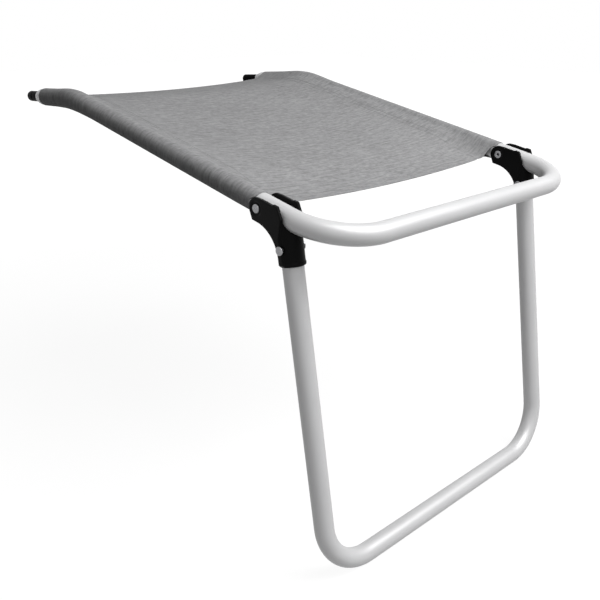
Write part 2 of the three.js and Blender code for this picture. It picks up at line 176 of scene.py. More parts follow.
class FootrestBracketSizes(bpy.types.PropertyGroup):
    ear_thickness: length("Ear thickness", "Thickness of each ear", 3.5)
    lobe_radius: length("Lobe radius", "Round end of the ear about the pivot", 11)
    heel_behind: length("Heel behind", "Heel of the ear behind the pivot", 4.5)
    heel_drop: length("Heel drop", "Heel of the ear below the pivot", 13.2)
    knee_radius: length("Knee radius", "Hollow curve between heel and pad", 37)
    ear_top: length("Ear top", "Top edge of the ear above the pivot", 11.5)
    nib_rise: length("Nib rise", "Step at the front of the top edge", 1.2)
    nib_length: length("Nib length", "Length of that step", 6)
    ear_front: length("Ear front", "Front of the top edge ahead of the pivot", 29)
    ear_shoulder: length("Ear shoulder", "Front edge ahead of the top edge", 7.5)
    ear_shoulder_drop: length("Shoulder drop", "Slope down from the nib", 10.7)
    ear_front_drop: length("Front drop", "Lower end of the front edge", 18)
    pad_behind: length("Pad behind", "Pad behind the leg's axis", 4.3)
    pad_ahead: length("Pad ahead", "Pad ahead of the leg's axis", 3)
    pad_end: length("Pad end", "Pad's end above the socket's end", 2)
    socket_wall: length("Socket wall", "Wall of the leg's socket", 1.7)
    socket_end: length("Socket end", "From the rail's axis to the socket's end", 47.3)
    collar_height: length("Collar height", "Band round the socket's end", 3.6)
    collar_rise: length("Collar rise", "How far the band stands out", 0.5)
    collar_round: length("Collar round", "Rounding of the band's lower edge", 1.4)
    recess_radius: length("Recess radius", "Flat seat round the pivot rivet", 7.6)
    recess_depth: length("Recess depth", "Depth of that seat", 0.6)
    fit_gap: length("Fit gap", "Clearance round the tubes", 0.3)
    sleeve_room: length("Sleeve room", "Room below the rail for the pocket when folded", 1.77)


class FootrestHardwareSizes(bpy.types.PropertyGroup):
    shank_radius: length("Shank radius", "Radius of the rivets' shanks", 3)
    head_radius: length("Head radius", "Radius of the domed heads", 4.7)
    head_height: length("Head height", "Height of the domed heads", 2.6)
    head_edge: length("Head edge", "Straight rim under the dome", 0.25)
    rolled_radius: length("Rolled radius", "Radius of the rolled ends", 4.9)
    rolled_height: length("Rolled height", "Height of the rolled ends", 0.7)
    rolled_bore: length("Rolled bore", "Radius of the bore in the rolled ends", 1.3)
    rolled_bore_depth: length("Bore depth", "Depth of that bore", 6)
    seat_gap: length("Seat gap", "Between a rivet and the face it bears on", 0.1)
    plug_radius: length("Plug radius", "Radius of the end plugs", 7.2)
    plug_length: length("Plug length", "From the tube's mouth to the plug's tip", 36)
    plug_tip_round: length("Tip round", "Rounding of the plug's tip", 3)
    groove_depth: length("Groove depth", "Depth of the plug's groove", 0.7)
    groove_width: length("Groove width", "Width of the plug's groove", 3)
    groove_from_tip: length("Groove place", "From the groove to the plug's tip", 15)
    stem_beyond_taper: length("Stem", "Plug's stem beyond the tube's taper", 18)
    stem_collar: length("Stem collar", "Length of the collar on the stem", 6)


class FootrestSlingSizes(bpy.types.PropertyGroup):
    thickness: length("Thickness", "Thickness of the cloth", 0.6)
    layer_gap: length("Layer gap", "Room between two sewn layers", 0.1)
    rail_fit: length("Rail fit", "From the rail out to the pocket's outer face", 0.9)
    front_fit: length("End fit", "The same at the pocket's two ends", 0.75)
    bend_fit: length("Bend fit", "The same in the rear bend", 2.3)
    fit_ease: length("Fit ease", "Stretch over which the fit changes", 30)
    behind_pivot: length("Front edge", "From the pivot back to the front edge", 16.5)
    lip: length("Front lip", "How far the pocket comes forward over the rail", 8)
    side_lip: length("Side lip", "How far it comes forward beside the rail", 1.5)
    under_cut: length("Under cut", "How far its lower layer stays back, clear of the folded bracket", 5)
    lip_top: turn("Lip top", "From the rail's top round to the end of the full lip", 35)
    lip_side: turn("Lip side", "From the rail's top round to the side lip", 75)
    from_mouth: length("Rear edge", "From the tube's mouth to the sheet's rear edge", 14)
    pocket_short: length("Pocket end", "From the sheet's rear edge to the pocket's", 5.5)
    seam_inset: length("Seam inset", "From the rail's axis in to the pocket's seam", 24.5)
    front_drop: length("Front drop", "Seam below the rail's axis at the front", 8)
    middle_drop: length("Middle drop", "Seam below the rail's axis along the rails", 3)
    rear_drop: length("Rear drop", "Seam below the rail's axis at the rear", 0)
    front_sag: length("Front sag", "Sag between the seams at the front", 7)
    rear_sag: length("Rear sag", "Sag between the seams at the rear", 5)
    front_crease: length("Front crease", "Rounding of the crease at the seam's front end", 2.5)
    crease: length("Crease", "Rounding of the crease along the rails", 13)
    rear_crease: length("Rear crease", "Rounding of the crease at its rear end", 3)
    crease_ease: length("Crease ease", "Stretch over which drop and rounding change", 90)
    seam_allowance: length("Seam allowance", "Cloth turned in under the seam", 10.5)
    hem: length("Hem", "Width of the turned hems", 12)
    pucker: length("Pucker", "Height of the small waves", 0.06)
    rib_length: length("Rib length", "Length of the puckers along the rail", 7)
    wave_length: length("Wave length", "Length of the waves at the seam", 22)
    roll_length: length("Roll length", "Length of the waves over the sheet", 90)
    stitch_length: length("Stitch", "Length of a stitch", 3)
    stitch_gap: length("Stitch gap", "Between two stitches", 1.2)
    thread_radius: length("Thread", "Radius of the sewing thread", 0.22)
    weave_pitch: length("Weave pitch", "Between two threads of the cloth", 1.1)


class FootrestFinish(bpy.types.PropertyGroup):
    aluminium: colour("Aluminium", "Satin anodised tube", 0.83, (1, 1, 1.004))
    cloth: colour("Cloth", "Heathered textile", 0.588, (1, 1, 1.006))
    thread: colour("Thread", "Sewing thread", 0.56, (1, 1, 1.006))
    bracket: colour("Bracket", "Moulded hinge bracket", 0.08, (1, 1, 1.02))
    plug: colour("Plug", "Moulded end plug", 0.08, (1, 1, 1.03))
    steel: colour("Rivet", "Plated rivet", 0.6, (1, 1, 1.015))
    bush: colour("Bush", "Natural plastic bush", 0.84, (1, 0.99, 0.95))


# Places in the frame

def rail_station(tube, distance):
    """Along, drop and inset of a point of the right rail's axis, and its slope, with the rails level."""
    past = max(distance - tube.rail_run - tube.rear_bend_radius * tube.rear_bend_angle, 0)
    turned = min(max(distance - tube.rail_run, 0) / tube.rear_bend_radius, tube.rear_bend_angle)
    along = min(distance, tube.rail_run) + tube.rear_bend_radius * math.sin(turned) + past * math.cos(turned)
    fall = tube.rear_bend_radius * (1 - math.cos(turned)) + past * math.sin(turned)
    slope = math.atan(math.tan(turned) * math.cos(tube.rear_bend_lean))
    return along, fall * math.cos(tube.rear_bend_lean), fall * math.sin(tube.rear_bend_lean), slope


def rear_bend_axis(tube, sign):
    """The axis about which one side's rail turns on its way back."""
    return Vector((-math.cos(tube.rear_bend_lean), 0, sign * math.sin(tube.rear_bend_lean)))


def mouth_distance(tube):
    return tube.rail_run + tube.rear_bend_radius * tube.rear_bend_angle + tube.tail_length


def seat_matrix(tube):
    """Places what is drawn with level rails: Y from the front bar's axis, Z square to the rails."""
    along, drop, _, _ = rail_station(tube, mouth_distance(tube))
    tilt = Matrix.Rotation(tube.rail_pitch, 4, "X")
    return Matrix.Translation(-(tilt @ Vector((0, along, -drop)))) @ tilt


def pivot_matrix(tube):
    """The same, with its origin on the pivot rivets' axis."""
    return seat_matrix(tube) @ Matrix.Translation((0, tube.pivot_from_bar, 0))


def leg_matrix(tube):
    """The same, with its origin where the leg's axis crosses the rails' axes and Z up the leg."""
    lean = Matrix.Rotation(-tube.leg_lean, 4, "X")
    return pivot_matrix(tube) @ Matrix.Translation((0, -tube.leg_ahead, 0)) @ lean


# Making, finishing and placing pieces

def add_piece(name, mesh, material=None, place=None):
    """An object with the mesh as its shape, in its place and of its material."""
    data = bpy.data.meshes.new(name)
    mesh.to_mesh(data)
    mesh.free()
    if place is not None:
        data.transform(place)
    if material is not None:
        data.materials.append(material)
    piece = bpy.data.objects.new(name, data)
    bpy.context.scene.collection.objects.link(piece)
    return piece


def add_modifier(piece, kind, **settings):
    modifier = piece.modifiers.new(kind.title(), kind)
    for key, value in settings.items():
        setattr(modifier, key, value)


def apply_modifiers(piece):
    """Makes the piece's modified shape its own mesh."""
    graph = bpy.context.evaluated_depsgraph_get()
    made = bpy.data.meshes.new_from_object(piece.evaluated_get(graph), depsgraph=graph)
    plain = piece.data
    piece.modifiers.clear()
    piece.data = made
    bpy.data.meshes.remove(plain)


def combine(piece, tool, operation):
    """Joins another shape to the piece, or cuts it away, and removes that shape."""
    add_modifier(piece, "BOOLEAN", object=tool, operation=operation, solver="EXACT")
    apply_modifiers(piece)
    shape = tool.data
    bpy.data.objects.remove(tool)
    bpy.data.meshes.remove(shape)


def thicken(piece, thickness):
    """Gives a surface its thickness, inward from its outer face."""
    add_modifier(piece, "SOLIDIFY", thickness=thickness, offset=-1)
    apply_modifiers(piece)


def shade_smooth(piece, angle=SHARP_ANGLE):
    piece.data.shade_smooth()
    piece.data.set_sharp_from_angle(angle=angle)


def settle(piece, body, slot, *nodes):
    """Hides the nodes that the piece stands for, and gives it its body. The slot is not used."""
    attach(piece, body)
    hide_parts(*nodes)


def turned_mesh(profile):
    """A closed turned shape round Z from points of radius and height."""
    mesh = bmesh.new()
    verts = [mesh.verts.new((radius, 0, height)) for radius, height in profile]
    edges = [mesh.edges.new(pair) for pair in zip(verts, verts[1:])]
    bmesh.ops.spin(
        mesh,
        geom=verts + edges,
        cent=(0, 0, 0),
        axis=(0, 0, 1),
        angle=2 * math.pi,
        steps=TURNED_SEGMENTS,
        use_merge=True,
    )
    bmesh.ops.remove_doubles(mesh, verts=mesh.verts, dist=MERGE_DISTANCE)
    bmesh.ops.recalc_face_normals(mesh, faces=mesh.faces)
    return mesh


def arc(centre, radius, start, end, steps, height=None):
    """Points of a circle's arc in a plane, or of an oval's where a height is given."""
    rise = radius if height is None else height
    points = []
    for step in range(steps + 1):
        angle = start + (end - start) * step / steps
        points.append((centre[0] + radius * math.cos(angle), centre[1] + rise * math.sin(angle)))
    return points


class TubeShell:
    """An open tube surface that grows from ring to ring along straights and bends."""

    def __init__(self, at, heading, across, radius):
        self.mesh = bmesh.new()
        self.along = self.mesh.verts.layers.float.new("along")
        self.round = self.mesh.verts.layers.float.new("round")
        self.at = Vector(at)
        self.heading = Vector(heading).normalized()
        self.radius = radius
        self.distance = 0.0
        across = Vector(across).normalized()
        other = self.heading.cross(across)
        placing = Matrix((across, other, self.heading)).transposed().to_4x4()
        placing.translation = self.at
        circle = bmesh.ops.create_circle(
            self.mesh, cap_ends=False, segments=TUBE_SEGMENTS, radius=radius, matrix=placing
        )
        self.ring = circle["verts"]
        for vert in self.ring:
            spoke = vert.co - self.at
            vert[self.round] = math.atan2(spoke.dot(other), spoke.dot(across)) / (2 * math.pi) % 1

    def ring_geometry(self):
        members = set(self.ring)
        edges = {edge for vert in self.ring for edge in vert.link_edges if members.issuperset(edge.verts)}
        return self.ring + list(edges)

    def mark(self, geometry, distance):
        self.ring = [item for item in geometry if isinstance(item, bmesh.types.BMVert)]
        self.distance += distance
        for vert in self.ring:
            vert[self.along] = self.distance

    def straight(self, distance, radius=None):
        """Grows straight on, and narrows or widens to a radius where one is given."""
        edges = [item for item in self.ring_geometry() if isinstance(item, bmesh.types.BMEdge)]
        grown = bmesh.ops.extrude_edge_only(self.mesh, edges=edges)["geom"]
        self.mark(grown, distance)
        step = self.heading * distance
        bmesh.ops.translate(self.mesh, verts=self.ring, vec=step)
        self.at += step
        if radius is not None:
            scale = radius / self.radius
            bmesh.ops.scale(
                self.mesh, verts=self.ring, vec=(scale, scale, scale), space=Matrix.Translation(-self.at)
            )
            self.radius = radius
        return self

    def bend(self, bend_radius, angle, axis):
        """Turns round an axis square to the heading."""
        axis = Vector(axis)
        centre = self.at + axis.cross(self.heading) * bend_radius
        steps = math.ceil(angle / BEND_STEP)
        for _ in range(steps):
            grown = bmesh.ops.spin(
                self.mesh,
                geom=self.ring_geometry(),
                cent=centre,
                axis=axis,
                angle=angle / steps,
                steps=1,
            )["geom_last"]
            self.mark(grown, bend_radius * angle / steps)
        rotation = Matrix.Rotation(angle, 3, axis)
        self.at = centre + rotation @ (self.at - centre)
        self.heading = rotation @ self.heading
        return self

    def ease(self, distance, radius):
        """Grows straight while the radius eases into another one."""
        start = self.radius
        for step in range(1, TAPER_STEPS + 1):
            share = (1 - math.cos(math.pi * step / TAPER_STEPS)) / 2
            self.straight(distance / TAPER_STEPS, start + (radius - start) * share)
        return self

    def finish(self):
        """Lays the surface out flat, along and round in metres, and gives back its mesh."""
        unwrapped = self.mesh.loops.layers.uv.new(TUBE_MAP)
        girth = 2 * math.pi * self.radius
        for face in self.mesh.faces:
            turns = [loop.vert[self.round] for loop in face.loops]
            wraps = max(turns) - min(turns) > 0.5
            for loop, share in zip(face.loops, turns):
                if wraps and share < 0.5:
                    share += 1
                loop[unwrapped].uv = (loop.vert[self.along], share * girth)
        bmesh.ops.recalc_face_normals(self.mesh, faces=self.mesh.faces)
        return self.mesh


def cross_hole(name, radius, half_length, at, matrix):
    """A round bar along X that cuts a rivet's hole."""
    bar = bmesh.new()
    bmesh.ops.create_cone(
        bar,
        cap_ends=True,
        segments=TURNED_SEGMENTS,
        radius1=radius,
        radius2=radius,
        depth=2 * half_length,
        matrix=matrix @ Matrix.Translation(at) @ Matrix.Rotation(math.pi / 2, 4, "Y"),
    )
    return add_piece(name, bar)


# Effects that the materials share, and the materials

# Noise patterns: cells in a metre along each axis, detail, and roughness of the detail
DRAWN_LINES = ((6, 1400, 1400), 3, 0.6)
SMUDGES = ((14, 40, 40), 4, 0.55)
HANDLING_MARKS = ((60, 260, 260), 2, 0.4)
FLOW_MARKS = ((30, 30, 60), 3, 0.5)
WEFT_FIBRE = ((60, 700, 1), 3, 0.65)
WARP_FIBRE = ((700, 60, 1), 3, 0.65)
SLUBS = ((42, 320, 1), 3, 0.75)
MOTTLE = ((150, 200, 1), 3, 0.7)
CLOUDS = ((10, 14, 1), 3, 0.5)

# The grain's own cells come from each material
GRAIN = ((1, 1, 1), 3, 0.6)

# Most noise lies between these values, and shades a colour between a darkest and a lightest factor
NOISE_SPAN = (0.3, 0.7)
METAL_SHADES = (0.965, 1.02)
PLASTIC_SHADES = (0.85, 1.25)

# How much each pattern changes a surface's roughness, and the cloth's own roughness
SMUDGE_ROUGHNESS = 0.16
LINE_ROUGHNESS = 0.12
FLOW_ROUGHNESS = 0.2
GRAIN_ROUGHNESS = 0.25
FIBRE_ROUGHNESS = 0.2
CLOTH_ROUGHNESS = 0.72

# How much each pattern changes the cloth's colour
SLUB_CONTRAST = 1.1
MOTTLE_CONTRAST = 0.7
CLOUD_CONTRAST = 0.25
WEAVE_CONTRAST = 0.05

# Relief of a pattern, as a share of the main pattern's
MARK_HEIGHT_SHARE = 0.4
FIBRE_HEIGHT_SHARE = 0.7

# Height of each material's relief
METAL_RELIEF = 0.02 * MM
BRACKET_RELIEF = 0.05 * MM
PLUG_RELIEF = 0.03 * MM
BUSH_RELIEF = 0.02 * MM
CLOTH_RELIEF = 0.08 * MM
THREAD_RELIEF = 0.05 * MM


def add_node(tree, kind, links=(), **settings):
    """A node with its settings, and its inputs given as values or linked from other sockets."""
    node = tree.nodes.new(kind)
    for key, value in settings.items():
        setattr(node, key, value)
    for key, value in dict(links).items():
        if isinstance(value, bpy.types.NodeSocket):
            tree.links.new(value, node.inputs[key])
        else:
            node.inputs[key].default_value = value
    return node


def math_node(tree, operation, first, second=0, clamp=False):
    node = add_node(tree, "ShaderNodeMath", {0: first, 1: second}, operation=operation, use_clamp=clamp)
    return node.outputs[0]


def add_up(tree, *values, clamp=False):
    total = values[0]
    for value in values[1:]:
        total = math_node(tree, "ADD", total, value, clamp)
    return total


def swing(tree, value, amount):
    """A pattern that swings about zero, so that it can be added to a level."""
    return math_node(tree, "MULTIPLY", math_node(tree, "SUBTRACT", value, 0.5), amount)


def pattern_noise(tree, vector, pattern, scale=1):
    """One of the noise patterns above."""
    stretch, detail, roughness = pattern
    mapping = add_node(tree, "ShaderNodeMapping", {"Vector": vector, "Scale": stretch})
    links = {"Vector": mapping.outputs[0], "Scale": scale, "Detail": detail, "Roughness": roughness}
    return add_node(tree, "ShaderNodeTexNoise", links).outputs["Fac"]


def mix_values(tree, factor, first, second):
    links = {"Factor": factor, "A": first, "B": second}
    return add_node(tree, "ShaderNodeMix", links, data_type="FLOAT").outputs["Result"]


def scaled_colour(tree, colour, factor):
    return add_node(tree, "ShaderNodeVectorMath", {0: colour, "Scale": factor}, operation="SCALE").outputs[0]


def map_range(tree, value, given, wanted, **settings):
    """A value carried over from one span to another."""
    ends = {"From Min": given[0], "From Max": given[1], "To Min": wanted[0], "To Max": wanted[1]}
    return add_node(tree, "ShaderNodeMapRange", {"Value": value, **ends}, **settings).outputs[0]


def shaded_colour(tree, colour, value, shades):
    """A colour that goes from its darkest to its lightest shade with a noise."""
    return scaled_colour(tree, colour, map_range(tree, value, NOISE_SPAN, shades))


class Effect:
    """A shader node group that turns a place and a colour into colour, roughness and height."""

    def __init__(self, name, inputs):
        self.tree = bpy.data.node_groups.new(name, "ShaderNodeTree")
        self.add_socket("Vector", "INPUT", "NodeSocketVector")
        self.add_socket("Colour", "INPUT", "NodeSocketColor")
        for label, value in inputs.items():
            self.add_socket(label, "INPUT", "NodeSocketFloat").default_value = value
        self.add_socket("Colour", "OUTPUT", "NodeSocketColor")
        self.add_socket("Roughness", "OUTPUT", "NodeSocketFloat")
        self.add_socket("Height", "OUTPUT", "NodeSocketFloat")
        self.given = self.tree.nodes.new("NodeGroupInput").outputs
        self.result = self.tree.nodes.new("NodeGroupOutput").inputs

    def add_socket(self, label, side, kind):
        return self.tree.interface.new_socket(name=label, in_out=side, socket_type=kind)

    def give(self, colour, roughness, height):
        for label, value in (("Colour", colour), ("Roughness", roughness), ("Height", height)):
            self.tree.links.new(value, self.result[label])
        return self.tree


def drawn_metal_group():
    """Fine lines along the drawn tube, soft smudges and a few handling marks."""
    effect = Effect("Drawn metal", {"Roughness": 0.4, "Line depth": 0.5})
    tree, given = effect.tree, effect.given
    lines = pattern_noise(tree, given["Vector"], DRAWN_LINES)
    smudges = pattern_noise(tree, given["Vector"], SMUDGES)
    marks = pattern_noise(tree, given["Vector"], HANDLING_MARKS)
    varied = swing(tree, smudges, SMUDGE_ROUGHNESS)
    streaked = swing(tree, lines, LINE_ROUGHNESS)
    relief = add_up(tree, lines, math_node(tree, "MULTIPLY", marks, MARK_HEIGHT_SHARE))
    return effect.give(
        shaded_colour(tree, given["Colour"], smudges, METAL_SHADES),
        add_up(tree, given["Roughness"], varied, streaked, clamp=True),
        math_node(tree, "MULTIPLY", relief, given["Line depth"]),
    )


def moulded_group():
    """Spark-eroded grain of a moulded plastic, with faint flow marks and rubbed spots."""
    effect = Effect("Moulded grain", {"Roughness": 0.5, "Grain size": 2200})
    tree, given = effect.tree, effect.given
    grain = pattern_noise(tree, given["Vector"], GRAIN, given["Grain size"])
    flow = pattern_noise(tree, given["Vector"], FLOW_MARKS)
    rubbed = swing(tree, flow, FLOW_ROUGHNESS)
    fine = swing(tree, grain, GRAIN_ROUGHNESS)
    return effect.give(
        shaded_colour(tree, given["Colour"], flow, PLASTIC_SHADES),
        add_up(tree, given["Roughness"], rubbed, fine, clamp=True),
        grain,
    )


def woven_group():
    """A plain weave of melange yarn: threads over and under, and streaks of lighter and darker fibre."""
    effect = Effect("Melange weave", {"Pitch": MM, "Fibre contrast": 0.5})
    tree, given = effect.tree, effect.given
    place = add_node(tree, "ShaderNodeSeparateXYZ", {0: given["Vector"]})
    waves = []
    for axis in ("X", "Y"):
        threads = math_node(tree, "DIVIDE", place.outputs[axis], given["Pitch"])
        waves.append(math_node(tree, "SINE", math_node(tree, "MULTIPLY", threads, math.pi)))
    crossing = math_node(tree, "MULTIPLY", *waves)
    over = math_node(tree, "ADD", math_node(tree, "MULTIPLY", crossing, 0.5), 0.5)
    weft_fibre = pattern_noise(tree, given["Vector"], WEFT_FIBRE)
    warp_fibre = pattern_noise(tree, given["Vector"], WARP_FIBRE)
    fibre = mix_values(tree, over, weft_fibre, warp_fibre)
    shade = add_up(
        tree,
        swing(tree, fibre, given["Fibre contrast"]),
        swing(tree, pattern_noise(tree, given["Vector"], SLUBS), SLUB_CONTRAST),
        swing(tree, pattern_noise(tree, given["Vector"], MOTTLE), MOTTLE_CONTRAST),
        swing(tree, pattern_noise(tree, given["Vector"], CLOUDS), CLOUD_CONTRAST),
        math_node(tree, "MULTIPLY", crossing, WEAVE_CONTRAST),
        1,
    )
    return effect.give(
        scaled_colour(tree, given["Colour"], shade),
        add_up(tree, math_node(tree, "MULTIPLY", fibre, FIBRE_ROUGHNESS), CLOTH_ROUGHNESS, clamp=True),
        add_up(
            tree,
            math_node(tree, "ABSOLUTE", crossing),
            math_node(tree, "MULTIPLY", fibre, FIBRE_HEIGHT_SHARE),
        ),
    )


# Each effect's group is built once, for the first material that asks for it
EFFECTS = {"metal": drawn_metal_group, "moulded": moulded_group, "woven": woven_group}
effect_groups = {}


def surface(name, kind, tint, relief, settings, values, coordinates=OBJECT_MAP):
    """A material whose colour, roughness and relief come from an effect's node group."""
    if kind not in effect_groups:
        effect_groups[kind] = EFFECTS[kind]()
    material = bpy.data.materials.new(name)
    material.use_nodes = True
    tree = material.node_tree
    shader = tree.nodes["Principled BSDF"]
    for key, value in settings.items():
        shader.inputs[key].default_value = value
    if coordinates == OBJECT_MAP:
        vector = add_node(tree, "ShaderNodeTexCoord").outputs["Object"]
    else:
        vector = add_node(tree, "ShaderNodeUVMap", uv_map=coordinates).outputs["UV"]
    links = {"Vector": vector, "Colour": (*tint, 1), **values}
    effect = add_node(tree, "ShaderNodeGroup", links, node_tree=effect_groups[kind]).outputs
    bump = add_node(tree, "ShaderNodeBump", {"Height": effect["Height"], "Distance": relief, "Strength": 1})
    tree.links.new(effect["Colour"], shader.inputs["Base Color"])
    tree.links.new(effect["Roughness"], shader.inputs["Roughness"])
    tree.links.new(bump.outputs["Normal"], shader.inputs["Normal"])
    return material


def aluminium(finish):
    settings = {"Metallic": 0.25, "Specular IOR Level": 0.2}
    values = {"Roughness": 0.45, "Line depth": 0.5}
    name = "Satin anodised aluminium"
    return surface(name, "metal", finish.aluminium, METAL_RELIEF, settings, values, TUBE_MAP)


def rivet_steel(finish):
    settings = {"Metallic": 0.65, "Specular IOR Level": 0.3}
    values = {"Roughness": 0.28, "Line depth": 0.25}
    return surface("Plated rivet steel", "metal", finish.steel, METAL_RELIEF, settings, values)


def bracket_plastic(finish):
    settings = {"Specular IOR Level": 0.05}
    values = {"Roughness": 0.45, "Grain size": 1900}
    return surface("Black glass-filled nylon", "moulded", finish.bracket, BRACKET_RELIEF, settings, values)


def plug_plastic(finish):
    settings = {"Specular IOR Level": 0.01}
    values = {"Roughness": 0.4, "Grain size": 2600}
    return surface("Black plug plastic", "moulded", finish.plug, PLUG_RELIEF, settings, values)


def bush_plastic(finish):
    settings = {"Subsurface Weight": 0.1, "Subsurface Radius": (MM, MM, MM)}
    values = {"Roughness": 0.42, "Grain size": 2000}
    return surface("Natural bush plastic", "moulded", finish.bush, BUSH_RELIEF, settings, values)


def sling_textile(finish, sling):
    settings = {"Specular IOR Level": 0.03}
    values = {"Pitch": sling.weave_pitch, "Fibre contrast": 0.5}
    return surface("Heathered grey textile", "woven", finish.cloth, CLOTH_RELIEF, settings, values, CLOTH_MAP)


def sewing_thread(finish, sling):
    settings = {"Sheen Weight": 0.1, "Sheen Roughness": 0.5, "Specular IOR Level": 0.3}
    values = {"Pitch": sling.thread_radius, "Fibre contrast": 0.2}
    return surface("Grey sewing thread", "woven", finish.thread, THREAD_RELIEF, settings, values)


# Pieces

def drilled_tube(name, shell, tube, finish, place, hole_radius, hole_at):
    """Gives a drawn tube its wall and its place, and drills it right across."""
    piece = add_piece(name, shell.finish(), aluminium(finish), place)
    thicken(piece, tube.wall)
    hole = cross_hole("cross_hole", hole_radius, tube.rail_spacing, hole_at, place)
    combine(piece, hole, "DIFFERENCE")
    shade_smooth(piece)
    return piece


def frame_tube_piece(tube, hardware, finish, fit_gap):
    """The bent tube: front bar, two corners, two rails, two rear bends and two drawn-in tails."""
    along, drop, inset, _ = rail_station(tube, mouth_distance(tube))
    upright = Vector((0, 0, 1))
    left_axis, right_axis = rear_bend_axis(tube, -1), rear_bend_axis(tube, 1)
    start = Vector((inset - tube.rail_spacing / 2, along, -drop))
    forward = Matrix.Rotation(tube.rear_bend_angle, 3, left_axis) @ Vector((0, -1, 0))
    hole_room = HOLE_ROOM_SHARE * hardware.shank_radius
    behind = tube.rail_run - tube.pivot_from_bar - hole_room
    ahead = tube.pivot_from_bar - hole_room - tube.corner_radius
    tail = tube.tail_length - tube.taper_length
    shell = TubeShell(start, forward, forward.cross(upright), tube.mouth_radius)
    shell.ease(tube.taper_length, tube.radius)
    shell.straight(tail)
    shell.bend(tube.rear_bend_radius, tube.rear_bend_angle, -left_axis)
    shell.straight(behind).straight(2 * hole_room).straight(ahead)
    shell.bend(tube.corner_radius, math.pi / 2, upright)
    shell.straight(tube.rail_spacing - 2 * tube.corner_radius)
    shell.bend(tube.corner_radius, math.pi / 2, upright)
    shell.straight(ahead).straight(2 * hole_room).straight(behind)
    shell.bend(tube.rear_bend_radius, tube.rear_bend_angle, right_axis)
    shell.straight(tail)
    shell.ease(tube.taper_length, tube.mouth_radius)
    shell.radius = tube.radius
    pivot = Vector((0, tube.pivot_from_bar, 0))
    hole_radius = hardware.shank_radius + fit_gap
    piece = drilled_tube("bent_frame_tube", shell, tube, finish, seat_matrix(tube), hole_radius, pivot)
    settle(piece, SEAT_BODY, "tube", "frame_tube")


def leg_tube_piece(tube, hardware, finish, fit_gap):
    """The U of the leg: two legs, two corners and the foot bar."""
    start = Vector((-tube.rail_spacing / 2, 0, -tube.leg_top))
    hole_end = tube.leg_rivet - tube.leg_top + HOLE_ROOM_SHARE * hardware.shank_radius
    rest = tube.leg_run - tube.leg_corner_radius - tube.leg_top - hole_end
    facing = Vector((0, -1, 0))
    shell = TubeShell(start, Vector((0, 0, -1)), Vector((1, 0, 0)), tube.radius)
    shell.straight(hole_end).straight(rest)
    shell.bend(tube.leg_corner_radius, math.pi / 2, facing)
    shell.straight(tube.rail_spacing - 2 * tube.leg_corner_radius)
    shell.bend(tube.leg_corner_radius, math.pi / 2, facing)
    shell.straight(rest).straight(hole_end)
    rivet = Vector((0, 0, -tube.leg_rivet))
    hole_radius = hardware.shank_radius + fit_gap
    piece = drilled_tube("bent_leg_tube", shell, tube, finish, leg_matrix(tube), hole_radius, rivet)
    settle(piece, LEG_BODY, "tube", "leg_tube")


def leg_point(tube, down, behind=0):
    """A point beside the leg's axis, as behind and above the pivot."""
    lean = tube.leg_lean
    return (
        -tube.leg_ahead - down * math.sin(lean) + behind * math.cos(lean),
        -down * math.cos(lean) - behind * math.sin(lean),
    )


def ear_outline(tube, bracket):
    """The ears' outline: lobe round the pivot, heel, hollow knee, pad over the leg rivet, front edge, nib."""
    lean = tube.leg_lean
    heel = Vector((bracket.heel_behind, -bracket.heel_drop))
    reach = bracket.knee_radius + bracket.pad_behind
    reach -= (bracket.heel_drop + bracket.knee_radius) * math.sin(lean)
    knee_at = reach / math.cos(lean) - tube.leg_ahead
    pad_end = bracket.socket_end - bracket.pad_end
    heel_angle = math.atan2(heel.y, heel.x)
    tangent_angle = heel_angle + math.acos(bracket.lobe_radius / heel.length)
    top = bracket.ear_top + bracket.nib_rise
    knee_centre = (knee_at, -bracket.heel_drop - bracket.knee_radius)
    return [
        (-bracket.ear_front, top),
        (bracket.nib_length - bracket.ear_front, top),
        (bracket.nib_length + bracket.nib_rise - bracket.ear_front, bracket.ear_top),
        (-bracket.heel_behind, bracket.ear_top),
        *arc((0, 0), bracket.lobe_radius, math.pi / 2, tangent_angle, EAR_ARC_STEPS),
        tuple(heel),
        *arc(knee_centre, bracket.knee_radius, math.pi / 2, math.pi - lean, EAR_ARC_STEPS),
        leg_point(tube, pad_end, bracket.pad_behind),
        leg_point(tube, pad_end, -bracket.pad_ahead),
        (-bracket.ear_front - bracket.ear_shoulder, -bracket.ear_front_drop),
        (-bracket.ear_front - bracket.ear_shoulder, top - bracket.ear_shoulder_drop),
    ]


def plate_mesh(outline, half_width):
    """A plate across X whose outline is given as behind and above the pivot."""
    mesh = bmesh.new()
    verts = [mesh.verts.new((-half_width, behind, above)) for behind, above in outline]
    face = mesh.faces.new(verts)
    grown = bmesh.ops.extrude_face_region(mesh, geom=[face])["geom"]
    far = [item for item in grown if isinstance(item, bmesh.types.BMVert)]
    bmesh.ops.translate(mesh, verts=far, vec=(2 * half_width, 0, 0))
    bmesh.ops.recalc_face_normals(mesh, faces=mesh.faces)
    return mesh


def socket_mesh(bracket, bore):
    """The round socket along Z with the band at its end."""
    wall = bore + bracket.socket_wall
    band = wall + bracket.collar_rise
    end, edge = bracket.socket_end, bracket.collar_round
    mesh = turned_mesh([
        (0, 0),
        (wall, 0),
        (wall, end - bracket.collar_height - bracket.collar_rise),
        (band, end - bracket.collar_height),
        *arc((band - edge, end - edge), edge, 0, math.pi / 2, BAND_STEPS),
        (0, end),
    ])
    # The end is one flat face: a fan's edges would meet the bore's edges there and spoil the later cuts.
    middle = [vert for vert in mesh.verts if vert.co.xy.length < MERGE_DISTANCE and vert.co.z > 0]
    bmesh.ops.dissolve_verts(mesh, verts=middle)
    return mesh


